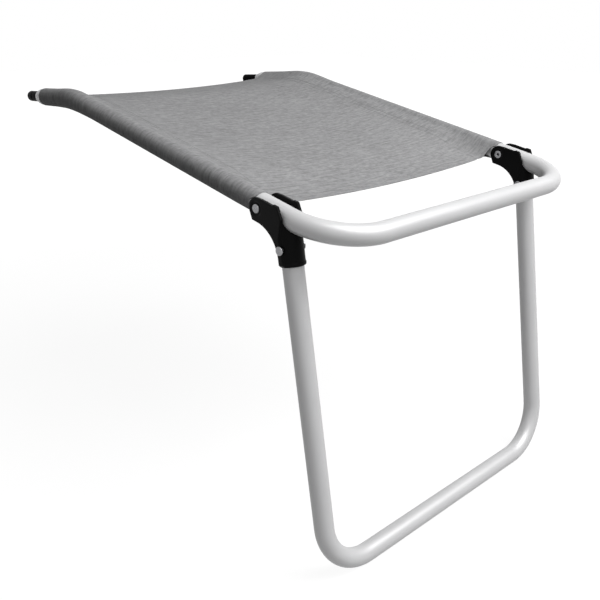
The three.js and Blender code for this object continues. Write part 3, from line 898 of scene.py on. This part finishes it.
def rail_way_mesh(tube, bore, behind, sign):
    """The rail and its front corner as a solid bar, from behind the pivot."""
    bar = TubeShell(Vector((0, behind, 0)), Vector((0, -1, 0)), Vector((1, 0, 0)), bore)
    bar.straight(behind + tube.pivot_from_bar - tube.corner_radius)
    bar.bend(tube.corner_radius, math.pi / 2, Vector((0, 0, -sign)))
    mesh = bar.finish()
    bmesh.ops.holes_fill(mesh, edges=mesh.edges, sides=0)
    bmesh.ops.recalc_face_normals(mesh, faces=mesh.faces)
    return mesh


def open_way_mesh(half_width, reach, below, turned):
    """A block that clears the way upward from a depth below the pivot, turned about it."""
    size = Matrix.Diagonal((2 * half_width, 2 * reach, reach + below, 1))
    middle = Matrix.Translation((0, 0, (reach - below) / 2))
    mesh = bmesh.new()
    bmesh.ops.create_cube(mesh, size=1, matrix=Matrix.Rotation(-turned, 4, "X") @ middle @ size)
    return mesh


def bracket_piece(name, sign, tube, bracket, hardware, finish):
    """One moulded bracket: two ears over the rail, the leg's socket and its band, with rounded edges."""
    bore = tube.radius + bracket.fit_gap
    half_width = bore + bracket.ear_thickness
    reach = CUT_SHARE * bracket.socket_end
    leg_top = tube.leg_top - bracket.fit_gap
    folded = math.radians(frame["joints"][0]["range_deg"][1]) + FOLD_MARGIN
    down_leg = Matrix.Translation((0, *leg_point(tube, 0))) @ Matrix.Rotation(math.pi - tube.leg_lean, 4, "X")
    body = add_piece("bracket_body", plate_mesh(ear_outline(tube, bracket), half_width))
    combine(body, add_piece("socket", socket_mesh(bracket, bore), place=down_leg), "UNION")

    leg_bore = turned_mesh([(0, leg_top), (bore, leg_top), (bore, reach), (0, reach)])
    ways = [
        add_piece("rail_way", rail_way_mesh(tube, bore, RAIL_WAY_SHARE * bracket.socket_end, sign)),
        add_piece("open_top", open_way_mesh(bore, reach, 0, 0)),
        add_piece("folded_way", open_way_mesh(bore, reach, bore + bracket.sleeve_room, folded)),
        add_piece("leg_bore", leg_bore, place=down_leg),
    ]
    for at in ((0, 0), leg_point(tube, tube.leg_rivet)):
        hole_radius = hardware.shank_radius + bracket.fit_gap
        ways.append(cross_hole("rivet_hole", hole_radius, 2 * half_width, Vector((0, *at)), Matrix()))
    for side in (-1, 1):
        at = Vector((side * half_width, 0, 0))
        ways.append(cross_hole("rivet_seat", bracket.recess_radius, bracket.recess_depth, at, Matrix()))
    for way in ways:
        combine(body, way, "DIFFERENCE")

    add_modifier(body, "REMESH", mode="VOXEL", voxel_size=EDGE_CELL, use_smooth_shade=True)
    add_modifier(body, "SMOOTH", factor=EDGE_SMOOTHING_SHARE, iterations=EDGE_PASSES)
    apply_modifiers(body)
    body.name = name
    body.data.transform(pivot_matrix(tube) @ Matrix.Translation((sign * tube.rail_spacing / 2, 0, 0)))
    body.data.materials.clear()
    body.data.materials.append(bracket_plastic(finish))
    body.data.shade_smooth()
    return body


def rivet_mesh(hardware, seat):
    """A tubular rivet along Z: its domed head below, its rolled end above."""
    head, rim = hardware.head_radius, -seat - hardware.head_edge
    shank, bore = hardware.shank_radius, hardware.rolled_bore
    curl = (hardware.rolled_radius - bore) / 2
    bore_end = seat - hardware.rolled_bore_depth
    return turned_mesh([
        *arc((0, rim), head, -math.pi / 2, 0, DOME_STEPS, hardware.head_height - hardware.head_edge),
        (head, -seat),
        (shank, -seat),
        (shank, seat),
        (hardware.rolled_radius, seat),
        *arc((bore + curl, seat + hardware.rolled_height - curl), curl, 0, math.pi, CURL_STEPS),
        (bore, bore_end),
        (0, bore_end),
    ])


def plug_mesh(tube, hardware, fit_gap):
    """The stepped plug along Z: stem and collar inside the tube, grooved body outside it."""
    stem = tube.mouth_radius - tube.wall - fit_gap
    collar = tube.radius - tube.wall - 2 * fit_gap
    start = -tube.taper_length - hardware.stem_beyond_taper
    collar_end = start + hardware.stem_collar
    radius, tip, end = hardware.plug_radius, hardware.plug_tip_round, hardware.plug_length
    depth = hardware.groove_depth
    groove_end = end - hardware.groove_from_tip
    groove_start = groove_end - hardware.groove_width
    return turned_mesh([
        (0, start),
        (collar, start),
        (collar, collar_end),
        (stem, collar_end + collar - stem),
        (stem, fit_gap),
        *arc((radius - depth, fit_gap + depth), depth, -math.pi / 2, 0, FILLET_STEPS),
        (radius, groove_start),
        (radius - depth, groove_start + depth),
        (radius - depth, groove_end - depth),
        (radius, groove_end),
        *arc((radius - tip, end - tip), tip, 0, math.pi / 2, TIP_STEPS),
        (0, end),
    ])


def smooth_share(share):
    """Eases from 0 to 1 with no kink at either end."""
    share = min(max(share, 0), 1)
    return share * share * (3 - 2 * share)


def smooth_profile(stations, distance):
    """A value that eases from station to station."""
    for (start, first), (end, second) in zip(stations, stations[1:]):
        if distance < end:
            return first + (second - first) * smooth_share((distance - start) / (end - start))
    return stations[-1][1]


def signed_noise(*place):
    """Repeatable noise between about -1 and 1."""
    return noise.noise(Vector(place))


class SlingShape:
    """Where the cloth lies across and along the footrest, with the rails level."""

    # Cells of half the section, from the middle of the sheet to the end of its seam allowance
    SHEET_CELLS = 28
    CREASE_CELLS = 16
    POCKET_CELLS = 32
    UNDER_CELLS = 6
    ALLOWANCE_CELLS = 4

    # Cells over which the pocket's lower layer draws back from the lip
    CUT_CELLS = 2

    # Cells along the sheet, round a hem's fold and over its flat layer
    LONG_CELLS = 160
    FOLD_CELLS = 6
    HEM_CELLS = 4

    # Each kind of wave reads its own layer of the noise
    BROAD_WAVES = 1
    SHORT_WAVES = 2
    LONG_WAVES = 3

    def __init__(self, tube, sling):
        self.tube = tube
        self.sling = sling
        self.front = tube.pivot_from_bar + sling.behind_pivot
        self.rear = mouth_distance(tube) - sling.from_mouth
        self.long = self.rear - self.front
        self.under_layer = 2 * sling.thickness + sling.layer_gap
        bend_middle = tube.rail_run + tube.rear_bend_radius * tube.rear_bend_angle / 2
        self.fits = (
            (self.front, sling.front_fit),
            (self.front + sling.fit_ease, sling.rail_fit),
            (tube.rail_run - sling.fit_ease, sling.rail_fit),
            (bend_middle, sling.bend_fit),
            (self.rear - sling.fit_ease, sling.rail_fit),
            (self.rear, sling.front_fit),
        )
        self.drops = (
            (self.front, sling.front_drop),
            (self.front + sling.crease_ease, sling.middle_drop),
            (self.rear, sling.rear_drop),
        )
        self.creases = (
            (self.front, sling.front_crease),
            (self.front + sling.crease_ease, sling.crease),
            (self.rear - 2 * sling.crease_ease, sling.crease),
            (self.rear, sling.rear_crease),
        )

    def radius(self, distance):
        """From the rail's axis to the cloth's outer face."""
        return self.tube.radius + smooth_profile(self.fits, distance)

    def half_spacing(self, distance):
        return self.tube.rail_spacing / 2 - rail_station(self.tube, distance)[2]

    def between_ends(self, front_value, rear_value, distance):
        return front_value + (rear_value - front_value) * (distance - self.front) / self.long

    def seam(self, distance):
        drop = smooth_profile(self.drops, distance)
        return Vector((self.half_spacing(distance) - self.sling.seam_inset, -drop))

    def tangent(self, distance, start, turned):
        """Where a straight layer from a point meets the pocket, and its angle about the rail."""
        centre = Vector((self.half_spacing(distance), 0))
        reach = start - centre
        radius = self.radius(distance)
        angle = math.pi + math.atan2(-reach.y, -reach.x) + turned * math.acos(radius / reach.length)
        return centre + radius * Vector((math.cos(angle), math.sin(angle))), angle

    def height(self, distance, x):
        """The upper face from the middle to the pocket: a sagging sheet with a soft crease at the seam."""
        seam = self.seam(distance)
        upper, _ = self.tangent(distance, seam, -1)
        sag = self.between_ends(self.sling.front_sag, self.sling.rear_sag, distance)
        sheet = seam.y - sag * (1 - (x / seam.x) ** 2)
        slope = seam.y + (x - seam.x) * (upper.y - seam.y) / (upper.x - seam.x)
        slope_share = min(max((x - seam.x) / (upper.x - seam.x), 0), 1)
        softness = smooth_profile(self.creases, distance) * (1 - slope_share ** 2)
        return (sheet + slope + math.hypot(sheet - slope, softness)) / 2

    def on_sheet(self, distance, x):
        return Vector((x, self.height(distance, x)))

    def section(self, distance):
        """The right half of the section, from the middle out, round the rail and back under the seam."""
        sling = self.sling
        seam = self.seam(distance)
        upper, leave = self.tangent(distance, seam, -1)
        inner = seam.x - sling.seam_allowance
        beneath = Vector((0, -self.under_layer))
        points = []
        for start, end, cells in ((0, inner, self.SHEET_CELLS), (inner, upper.x, self.CREASE_CELLS)):
            for cell in range(cells):
                points.append(self.on_sheet(distance, start + (end - start) * cell / cells))
        under = self.on_sheet(distance, seam.x) + beneath
        lower, arrive = self.tangent(distance, under, 1)
        arrive -= 2 * math.pi
        centre = Vector((self.half_spacing(distance), 0))
        for cell in range(self.POCKET_CELLS):
            angle = leave + (arrive - leave) * cell / self.POCKET_CELLS
            points.append(centre + self.radius(distance) * Vector((math.cos(angle), math.sin(angle))))
        for cell in range(self.UNDER_CELLS):
            points.append(lower.lerp(under, cell / self.UNDER_CELLS))
        for cell in range(self.ALLOWANCE_CELLS + 1):
            x = seam.x - sling.seam_allowance * cell / self.ALLOWANCE_CELLS
            points.append(self.on_sheet(distance, x) + beneath)
        return points

    def edge_places(self, distance, index, point):
        """The front and rear edge of the cloth at a point of the section."""
        sling = self.sling
        from_rail = Vector((point.x - self.half_spacing(distance), point.y))
        from_top = abs(math.atan2(from_rail.x, from_rail.y))
        top_share = smooth_share((sling.lip_side - from_top) / (sling.lip_side - sling.lip_top))
        seam = self.seam(distance)
        side_share = smooth_share((point.x - seam.x) / sling.seam_allowance + 1)
        pocket_end = self.SHEET_CELLS + self.CREASE_CELLS + self.POCKET_CELLS
        under_share = smooth_share((index - pocket_end) / self.CUT_CELLS)
        lip = sling.side_lip * side_share + (sling.lip - sling.side_lip) * top_share
        lip -= sling.under_cut * under_share
        return self.front - lip, self.rear - sling.pocket_short * side_share

    def lift(self, index, distance, point):
        """Puckers round the pocket, short waves at its seam and long ones over the sheet."""
        sling = self.sling
        pocket_start = self.SHEET_CELLS + self.CREASE_CELLS
        if index >= pocket_start:
            rib = signed_noise(distance / sling.rib_length, index / self.POCKET_CELLS, point.x)
            broad = signed_noise(distance / sling.wave_length, index / self.POCKET_CELLS, self.BROAD_WAVES)
            return sling.pucker * (rib + broad + 1) / 2
        near_seam = smooth_share(index / pocket_start)
        wave = signed_noise(distance / sling.wave_length, point.x / (2 * sling.wave_length), self.SHORT_WAVES)
        roll = signed_noise(distance / sling.roll_length, point.x / sling.roll_length, self.LONG_WAVES)
        return sling.pucker * (wave * near_seam + 2 * roll * (1 - near_seam))

    def place(self, x, distance, above):
        """A point of the level frame from its place across, along the rail and square to it."""
        along, drop, _, slope = rail_station(self.tube, distance)
        return Vector((x, along + above * math.sin(slope), above * math.cos(slope) - drop))


def run_lengths(points):
    """The cloth's own length from the first point to each point."""
    runs = [0.0]
    for first, second in zip(points, points[1:]):
        runs.append(runs[-1] + (second - first).length)
    return runs


def section_normals(points):
    """Square to the section at each point, out of the cloth's outer face."""
    normals = []
    for index in range(len(points)):
        ahead = points[min(index + 1, len(points) - 1)] - points[max(index - 1, 0)]
        normals.append(Vector((-ahead.y, ahead.x)).normalized())
    return normals


def grid_mesh(columns, rows, spot):
    """A grid whose every point is placed by a function that gives its position and cloth coordinates."""
    mesh = bmesh.new()
    flat = mesh.loops.layers.uv.new(CLOTH_MAP)
    bmesh.ops.create_grid(mesh, x_segments=columns, y_segments=rows, size=1)
    coordinates = {}
    for vert in mesh.verts:
        column = round((vert.co.x + 1) / 2 * columns)
        row = round((vert.co.y + 1) / 2 * rows)
        vert.co, coordinates[vert] = spot(column, row)
    for face in mesh.faces:
        for loop in face.loops:
            loop[flat].uv = coordinates[loop.vert]
    mesh.normal_update()
    return mesh


def sling_sheet(shape, material):
    """The sheet with its two pockets, as one cloth."""
    rows = []
    for row in range(shape.LONG_CELLS + 1):
        distance = shape.front + shape.long * row / shape.LONG_CELLS
        points = shape.section(distance)
        rows.append((distance, points, run_lengths(points), section_normals(points)))
    half_cells = len(rows[0][1]) - 1

    def spot(column, row):
        distance, points, runs, normals = rows[row]
        index = abs(column - half_cells)
        sign = 1 if column >= half_cells else -1
        front, rear = shape.edge_places(distance, index, points[index])
        along = front + (rear - front) * row / shape.LONG_CELLS
        point = points[index] + normals[index] * shape.lift(index, along, sign * points[index])
        return shape.place(sign * point.x, along, point.y), (sign * runs[index], along)

    mesh = grid_mesh(2 * half_cells, shape.LONG_CELLS, spot)
    piece = cloth_piece("sling_cloth", mesh, shape, material)
    settle(piece, SEAT_BODY, "textile", "sling")
    return piece, 2 * rows[0][2][-1]


def cloth_piece(name, mesh, shape, material):
    """Puts a cloth surface in its place and gives it its thickness."""
    piece = add_piece(name, mesh, material, seat_matrix(shape.tube))
    thicken(piece, shape.sling.thickness)
    shade_smooth(piece, FOLD_ANGLE)
    return piece


def turned_hem(name, shape, edge, inward, material):
    """The cloth's edge turned under: a round fold and a flat layer against the sheet's lower face."""
    sling = shape.sling
    fold = shape.under_layer / 2
    half_width = shape.seam(edge).x - sling.seam_allowance - sling.thickness
    columns = 2 * shape.SHEET_CELLS

    def spot(column, row):
        x = half_width * (2 * column / columns - 1)
        if row <= shape.FOLD_CELLS:
            angle = math.pi / 2 + math.pi * row / shape.FOLD_CELLS
            along, below, run = fold * math.cos(angle), fold * (1 - math.sin(angle)), fold * angle
        else:
            along = sling.hem * (row - shape.FOLD_CELLS) / shape.HEM_CELLS
            below, run = shape.under_layer, along + math.pi * fold
        distance = edge + inward * along
        roll = shape.lift(0, distance, Vector((x, 0)))
        above = shape.height(edge + inward * max(along, 0), abs(x)) + roll - below
        return shape.place(x, distance, above), (x, run)

    mesh = grid_mesh(columns, shape.FOLD_CELLS + shape.HEM_CELLS, spot)
    if inward > 0:
        bmesh.ops.reverse_faces(mesh, faces=mesh.faces)
    piece = cloth_piece(name, mesh, shape, material)
    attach(piece, SEAT_BODY)
    return piece


def stitch_row(mesh, stitch, sling, path, row_length):
    """Lays stitches along a path, which gives a place on the cloth for a distance along the row."""
    pitch = sling.stitch_length + sling.stitch_gap
    lift = Vector((0, 0, sling.thread_radius / 2))
    for count in range(int(row_length / pitch)):
        start = path(count * pitch + sling.stitch_gap / 2)
        end = path(count * pitch + sling.stitch_gap / 2 + sling.stitch_length)
        aim = (end - start).to_track_quat("Z", "Y").to_matrix().to_4x4()
        place = Matrix.Translation((start + end) / 2 + lift) @ aim
        stitch.transform(place)
        mesh.from_mesh(stitch)
        stitch.transform(place.inverted())


def one_stitch(sling):
    """A single stitch along Z, pointed at both ends where it dips into the cloth."""
    mesh = bmesh.new()
    shape = Matrix.Diagonal((sling.thread_radius, sling.thread_radius, sling.stitch_length / 2, 1))
    bmesh.ops.create_uvsphere(
        mesh, u_segments=STITCH_SEGMENTS, v_segments=STITCH_RINGS, radius=1, matrix=shape
    )
    stitch = bpy.data.meshes.new("one_stitch")
    mesh.to_mesh(stitch)
    mesh.free()
    return stitch


def sling_stitches(shape, material):
    """Two rows along each pocket's seam and one along each hem."""
    sling = shape.sling
    stitch = one_stitch(sling)
    mesh = bmesh.new()
    for _, sign in SIDES:
        for inset_share in SEAM_ROW_SHARES:
            def along_seam(run):
                distance = shape.front + sling.hem / 2 + run
                x = shape.seam(distance).x - sling.seam_allowance * inset_share
                return shape.place(sign * x, distance, shape.height(distance, x))
            stitch_row(mesh, stitch, sling, along_seam, shape.long - sling.hem)
    for distance in (shape.front + sling.hem * HEM_ROW_SHARE, shape.rear - sling.hem * HEM_ROW_SHARE):
        width = 2 * (shape.seam(distance).x - sling.seam_allowance)

        def along_hem(run):
            x = run - width / 2
            roll = shape.lift(0, distance, Vector((x, 0)))
            return shape.place(x, distance, shape.height(distance, abs(x)) + roll)
        stitch_row(mesh, stitch, sling, along_hem, width)
    bpy.data.meshes.remove(stitch)
    piece = add_piece("sling_stitches", mesh, material, seat_matrix(shape.tube))
    piece.data.shade_smooth()
    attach(piece, SEAT_BODY)
    return piece


def build_sling(tube, sling, finish):
    shape = SlingShape(tube, sling)
    cloth = sling_textile(finish, sling)
    sheet, cut_width = sling_sheet(shape, cloth)
    front_hem = turned_hem("front_hem", shape, shape.front, 1, cloth)
    rear_hem = turned_hem("rear_hem", shape, shape.rear, -1, cloth)
    stitches = sling_stitches(shape, sewing_thread(finish, sling))


# Operators, one for each piece or group of like pieces

def sizes(context):
    scene = context.scene
    return (
        scene.footrest_tube,
        scene.footrest_bracket,
        scene.footrest_hardware,
        scene.footrest_sling,
        scene.footrest_finish,
    )


class FOOTREST_OT_frame_tube(bpy.types.Operator):
    """Builds the bent frame tube with its drawn-in ends and rivet holes"""
    bl_idname = "footrest.frame_tube"
    bl_label = "Frame Tube"

    def execute(self, context):
        tube, bracket, hardware, _, finish = sizes(context)
        frame_tube_piece(tube, hardware, finish, bracket.fit_gap)
        return {"FINISHED"}


class FOOTREST_OT_leg_tube(bpy.types.Operator):
    """Builds the U-shaped leg tube"""
    bl_idname = "footrest.leg_tube"
    bl_label = "Leg Tube"

    def execute(self, context):
        tube, bracket, hardware, _, finish = sizes(context)
        leg_tube_piece(tube, hardware, finish, bracket.fit_gap)
        return {"FINISHED"}


class FOOTREST_OT_brackets(bpy.types.Operator):
    """Builds the two moulded hinge brackets"""
    bl_idname = "footrest.brackets"
    bl_label = "Hinge Brackets"

    def execute(self, context):
        tube, bracket, hardware, _, finish = sizes(context)
        for side, sign in SIDES:
            piece = bracket_piece(f"moulded_bracket_{side}", sign, tube, bracket, hardware, finish)
            settle(piece, LEG_BODY, "bracket", f"hinge_bracket_{side}")
        return {"FINISHED"}


class FOOTREST_OT_rivets(bpy.types.Operator):
    """Builds the pivot rivets and the leg rivets"""
    bl_idname = "footrest.rivets"
    bl_label = "Rivets"

    def execute(self, context):
        tube, bracket, hardware, _, finish = sizes(context)
        material = rivet_steel(finish)
        ear_face = tube.radius + bracket.fit_gap + bracket.ear_thickness
        kinds = (
            ("pivot_rivet", ear_face - bracket.recess_depth + hardware.seat_gap, (0, 0)),
            ("leg_rivet", ear_face + hardware.seat_gap, leg_point(tube, tube.leg_rivet)),
        )
        for kind, seat, at in kinds:
            for side, sign in SIDES:
                across = Matrix.Translation((sign * tube.rail_spacing / 2, *at))
                place = pivot_matrix(tube) @ across @ Matrix.Rotation(-sign * math.pi / 2, 4, "Y")
                piece = add_piece(f"turned_{kind}_{side}", rivet_mesh(hardware, seat), material, place)
                shade_smooth(piece)
                settle(piece, LEG_BODY, "rivet", f"{kind}_{side}")
        return {"FINISHED"}


class FOOTREST_OT_plugs(bpy.types.Operator):
    """Builds the two stepped end plugs"""
    bl_idname = "footrest.plugs"
    bl_label = "End Plugs"

    def execute(self, context):
        tube, bracket, hardware, _, finish = sizes(context)
        material = plug_plastic(finish)
        along, drop, inset, _ = rail_station(tube, mouth_distance(tube))
        for side, sign in SIDES:
            mesh = plug_mesh(tube, hardware, bracket.fit_gap)
            at = Matrix.Translation((sign * (tube.rail_spacing / 2 - inset), along, -drop))
            turned = Matrix.Rotation(tube.rear_bend_angle, 4, rear_bend_axis(tube, sign))
            place = seat_matrix(tube) @ at @ turned @ Matrix.Rotation(-math.pi / 2, 4, "X")
            piece = add_piece(f"stepped_plug_{side}", mesh, material, place)
            shade_smooth(piece)
            settle(piece, SEAT_BODY, "plug", f"end_plug_{side}")
        return {"FINISHED"}


class FOOTREST_OT_bushes(bpy.types.Operator):
    """Gives the two bushes inside the rails their plastic"""
    bl_idname = "footrest.bushes"
    bl_label = "Pivot Bushes"

    def execute(self, context):
        material = bush_plastic(context.scene.footrest_finish)
        for side, _ in SIDES:
            node = frame["nodes"][f"pivot_bush_{side}"]
            node.data.materials.clear()
            node.data.materials.append(material)
        return {"FINISHED"}


class FOOTREST_OT_sling(bpy.types.Operator):
    """Builds the textile sling with its pockets"""
    bl_idname = "footrest.sling"
    bl_label = "Sling"

    def execute(self, context):
        tube, _, _, sling, finish = sizes(context)
        build_sling(tube, sling, finish)
        return {"FINISHED"}


# The stage: floor, world, lamps and camera

# The camera's place in the frame, the way it looks and its lens
CAMERA_AZIMUTH = math.radians(-42.416)
CAMERA_ELEVATION = math.radians(21.879)
CAMERA_PLACE = Vector((-0.65859, -1.0477, 0.12325))
SENSOR_WIDTH = 36
PICTURE_WIDTH = 600
FOCAL_PIXELS = 739.426
CLIP_NEAR = 0.05
CLIP_FAR = 50

# The white background and its strength as light, and the floor's bounce, glow and fading shadow
WHITE = (1, 1, 1, 1)
WORLD_LIGHT = 0.1
FLOOR_BOUNCE = 0.25
FLOOR_GLOW = 1.08
FLOOR_HALF_WIDTH = 6
SHADOW_SPAN = (0.7, 1.5)
SHADOW_SHARES = (0.14, 0)

# Each lamp's place, size and power
LAMP_AIM = Vector((0, -0.3, -0.15))
LAMPS = (
    ("overhead", (0.2, -1.5, 1.9), 1.6, 33),
    ("front_right", (0.62, -1.5, 1.2), 1.1, 20),
    ("front_left", (-0.95, -1.4, 0.2), 0.8, 0.8),
)


def seen_directly(tree):
    """A value that is 1 for rays that see the background itself or its reflection."""
    path = add_node(tree, "ShaderNodeLightPath")
    seen = math_node(tree, "MAXIMUM", path.outputs["Is Camera Ray"], path.outputs["Is Glossy Ray"])
    return math_node(tree, "MAXIMUM", seen, path.outputs["Is Transmission Ray"])


def add_world():
    world = bpy.data.worlds.new("Soft studio")
    bpy.context.scene.world = world
    world.use_nodes = True
    tree = world.node_tree
    background = tree.nodes["Background"]
    background.inputs["Color"].default_value = WHITE
    tree.links.new(mix_values(tree, seen_directly(tree), WORLD_LIGHT, 1), background.inputs["Strength"])


def add_floor():
    """A white floor that keeps a soft shadow near the object and fades into the background."""
    mesh = bmesh.new()
    bmesh.ops.create_grid(mesh, x_segments=1, y_segments=1, size=FLOOR_HALF_WIDTH)
    material = bpy.data.materials.new("Pale floor")
    material.use_nodes = True
    tree = material.node_tree
    tree.nodes.remove(tree.nodes["Principled BSDF"])
    seen = seen_directly(tree)
    spot = add_node(tree, "ShaderNodeTexCoord").outputs["Object"]
    away = add_node(tree, "ShaderNodeVectorMath", {0: spot}, operation="LENGTH").outputs["Value"]
    fade = map_range(tree, away, SHADOW_SPAN, SHADOW_SHARES, interpolation_type="SMOOTHSTEP")
    diffuse = add_node(tree, "ShaderNodeBsdfDiffuse", {"Color": mix_values(tree, seen, FLOOR_BOUNCE, 1)})
    glow = add_node(tree, "ShaderNodeEmission", {"Color": WHITE, "Strength": FLOOR_GLOW})
    share = math_node(tree, "MULTIPLY", seen, math_node(tree, "SUBTRACT", 1, fade))
    mix = add_node(tree, "ShaderNodeMixShader", {0: share, 1: diffuse.outputs[0], 2: glow.outputs[0]})
    tree.links.new(mix.outputs[0], tree.nodes["Material Output"].inputs["Surface"])
    add_piece("pale_floor", mesh, material, Matrix.Translation((0, 0, FLOOR_HEIGHT)))


def add_lamp(name, place, size, power):
    light = bpy.data.lights.new(name, "AREA")
    light.shape = "SQUARE"
    light.size = size
    light.energy = power
    lamp = bpy.data.objects.new(name, light)
    lamp.location = place
    lamp.rotation_euler = (LAMP_AIM - Vector(place)).to_track_quat("-Z", "Y").to_euler()
    bpy.context.scene.collection.objects.link(lamp)


def add_camera():
    data = bpy.data.cameras.new("Camera")
    data.sensor_width = SENSOR_WIDTH
    data.lens = FOCAL_PIXELS * SENSOR_WIDTH / PICTURE_WIDTH
    data.clip_start = CLIP_NEAR
    data.clip_end = CLIP_FAR
    camera = bpy.data.objects.new("Camera", data)
    camera.location = CAMERA_PLACE
    camera.rotation_euler = (math.pi / 2 - CAMERA_ELEVATION, 0, CAMERA_AZIMUTH)
    bpy.context.scene.collection.objects.link(camera)
    bpy.context.scene.camera = camera


class FOOTREST_OT_stage(bpy.types.Operator):
    """Adds the floor, the soft lamps and the camera"""
    bl_idname = "footrest.stage"
    bl_label = "Stage"

    def execute(self, context):
        add_world()
        add_floor()
        for lamp in LAMPS:
            add_lamp(*lamp)
        add_camera()
        context.scene.view_settings.view_transform = "Standard"
        return {"FINISHED"}


class FOOTREST_PT_build(bpy.types.Panel):
    """Lists the footrest's pieces in the sidebar"""
    bl_idname = "FOOTREST_PT_build"
    bl_label = "Footrest"
    bl_space_type = "VIEW_3D"
    bl_region_type = "UI"
    bl_category = "Footrest"

    def draw(self, context):
        for operator in OPERATORS:
            self.layout.operator(operator.bl_idname)


OPERATORS = (
    FOOTREST_OT_frame_tube,
    FOOTREST_OT_leg_tube,
    FOOTREST_OT_sling,
    FOOTREST_OT_brackets,
    FOOTREST_OT_rivets,
    FOOTREST_OT_plugs,
    FOOTREST_OT_bushes,
    FOOTREST_OT_stage,
)
PROPERTY_GROUPS = {
    "footrest_tube": FootrestTubeSizes,
    "footrest_bracket": FootrestBracketSizes,
    "footrest_hardware": FootrestHardwareSizes,
    "footrest_sling": FootrestSlingSizes,
    "footrest_finish": FootrestFinish,
}


def register():
    for name, group in PROPERTY_GROUPS.items():
        bpy.utils.register_class(group)
        setattr(bpy.types.Scene, name, bpy.props.PointerProperty(type=group))
    for operator in OPERATORS:
        bpy.utils.register_class(operator)
    bpy.utils.register_class(FOOTREST_PT_build)


def unregister():
    bpy.utils.unregister_class(FOOTREST_PT_build)
    for operator in reversed(OPERATORS):
        bpy.utils.unregister_class(operator)
    for name, group in PROPERTY_GROUPS.items():
        delattr(bpy.types.Scene, name)
        bpy.utils.unregister_class(group)


def main():
    register()
    bpy.ops.footrest.frame_tube()
    bpy.ops.footrest.leg_tube()
    bpy.ops.footrest.sling()
    bpy.ops.footrest.brackets()
    bpy.ops.footrest.rivets()
    bpy.ops.footrest.plugs()
    bpy.ops.footrest.bushes()
    bpy.ops.footrest.stage()


if __name__ == "__main__":
    main()
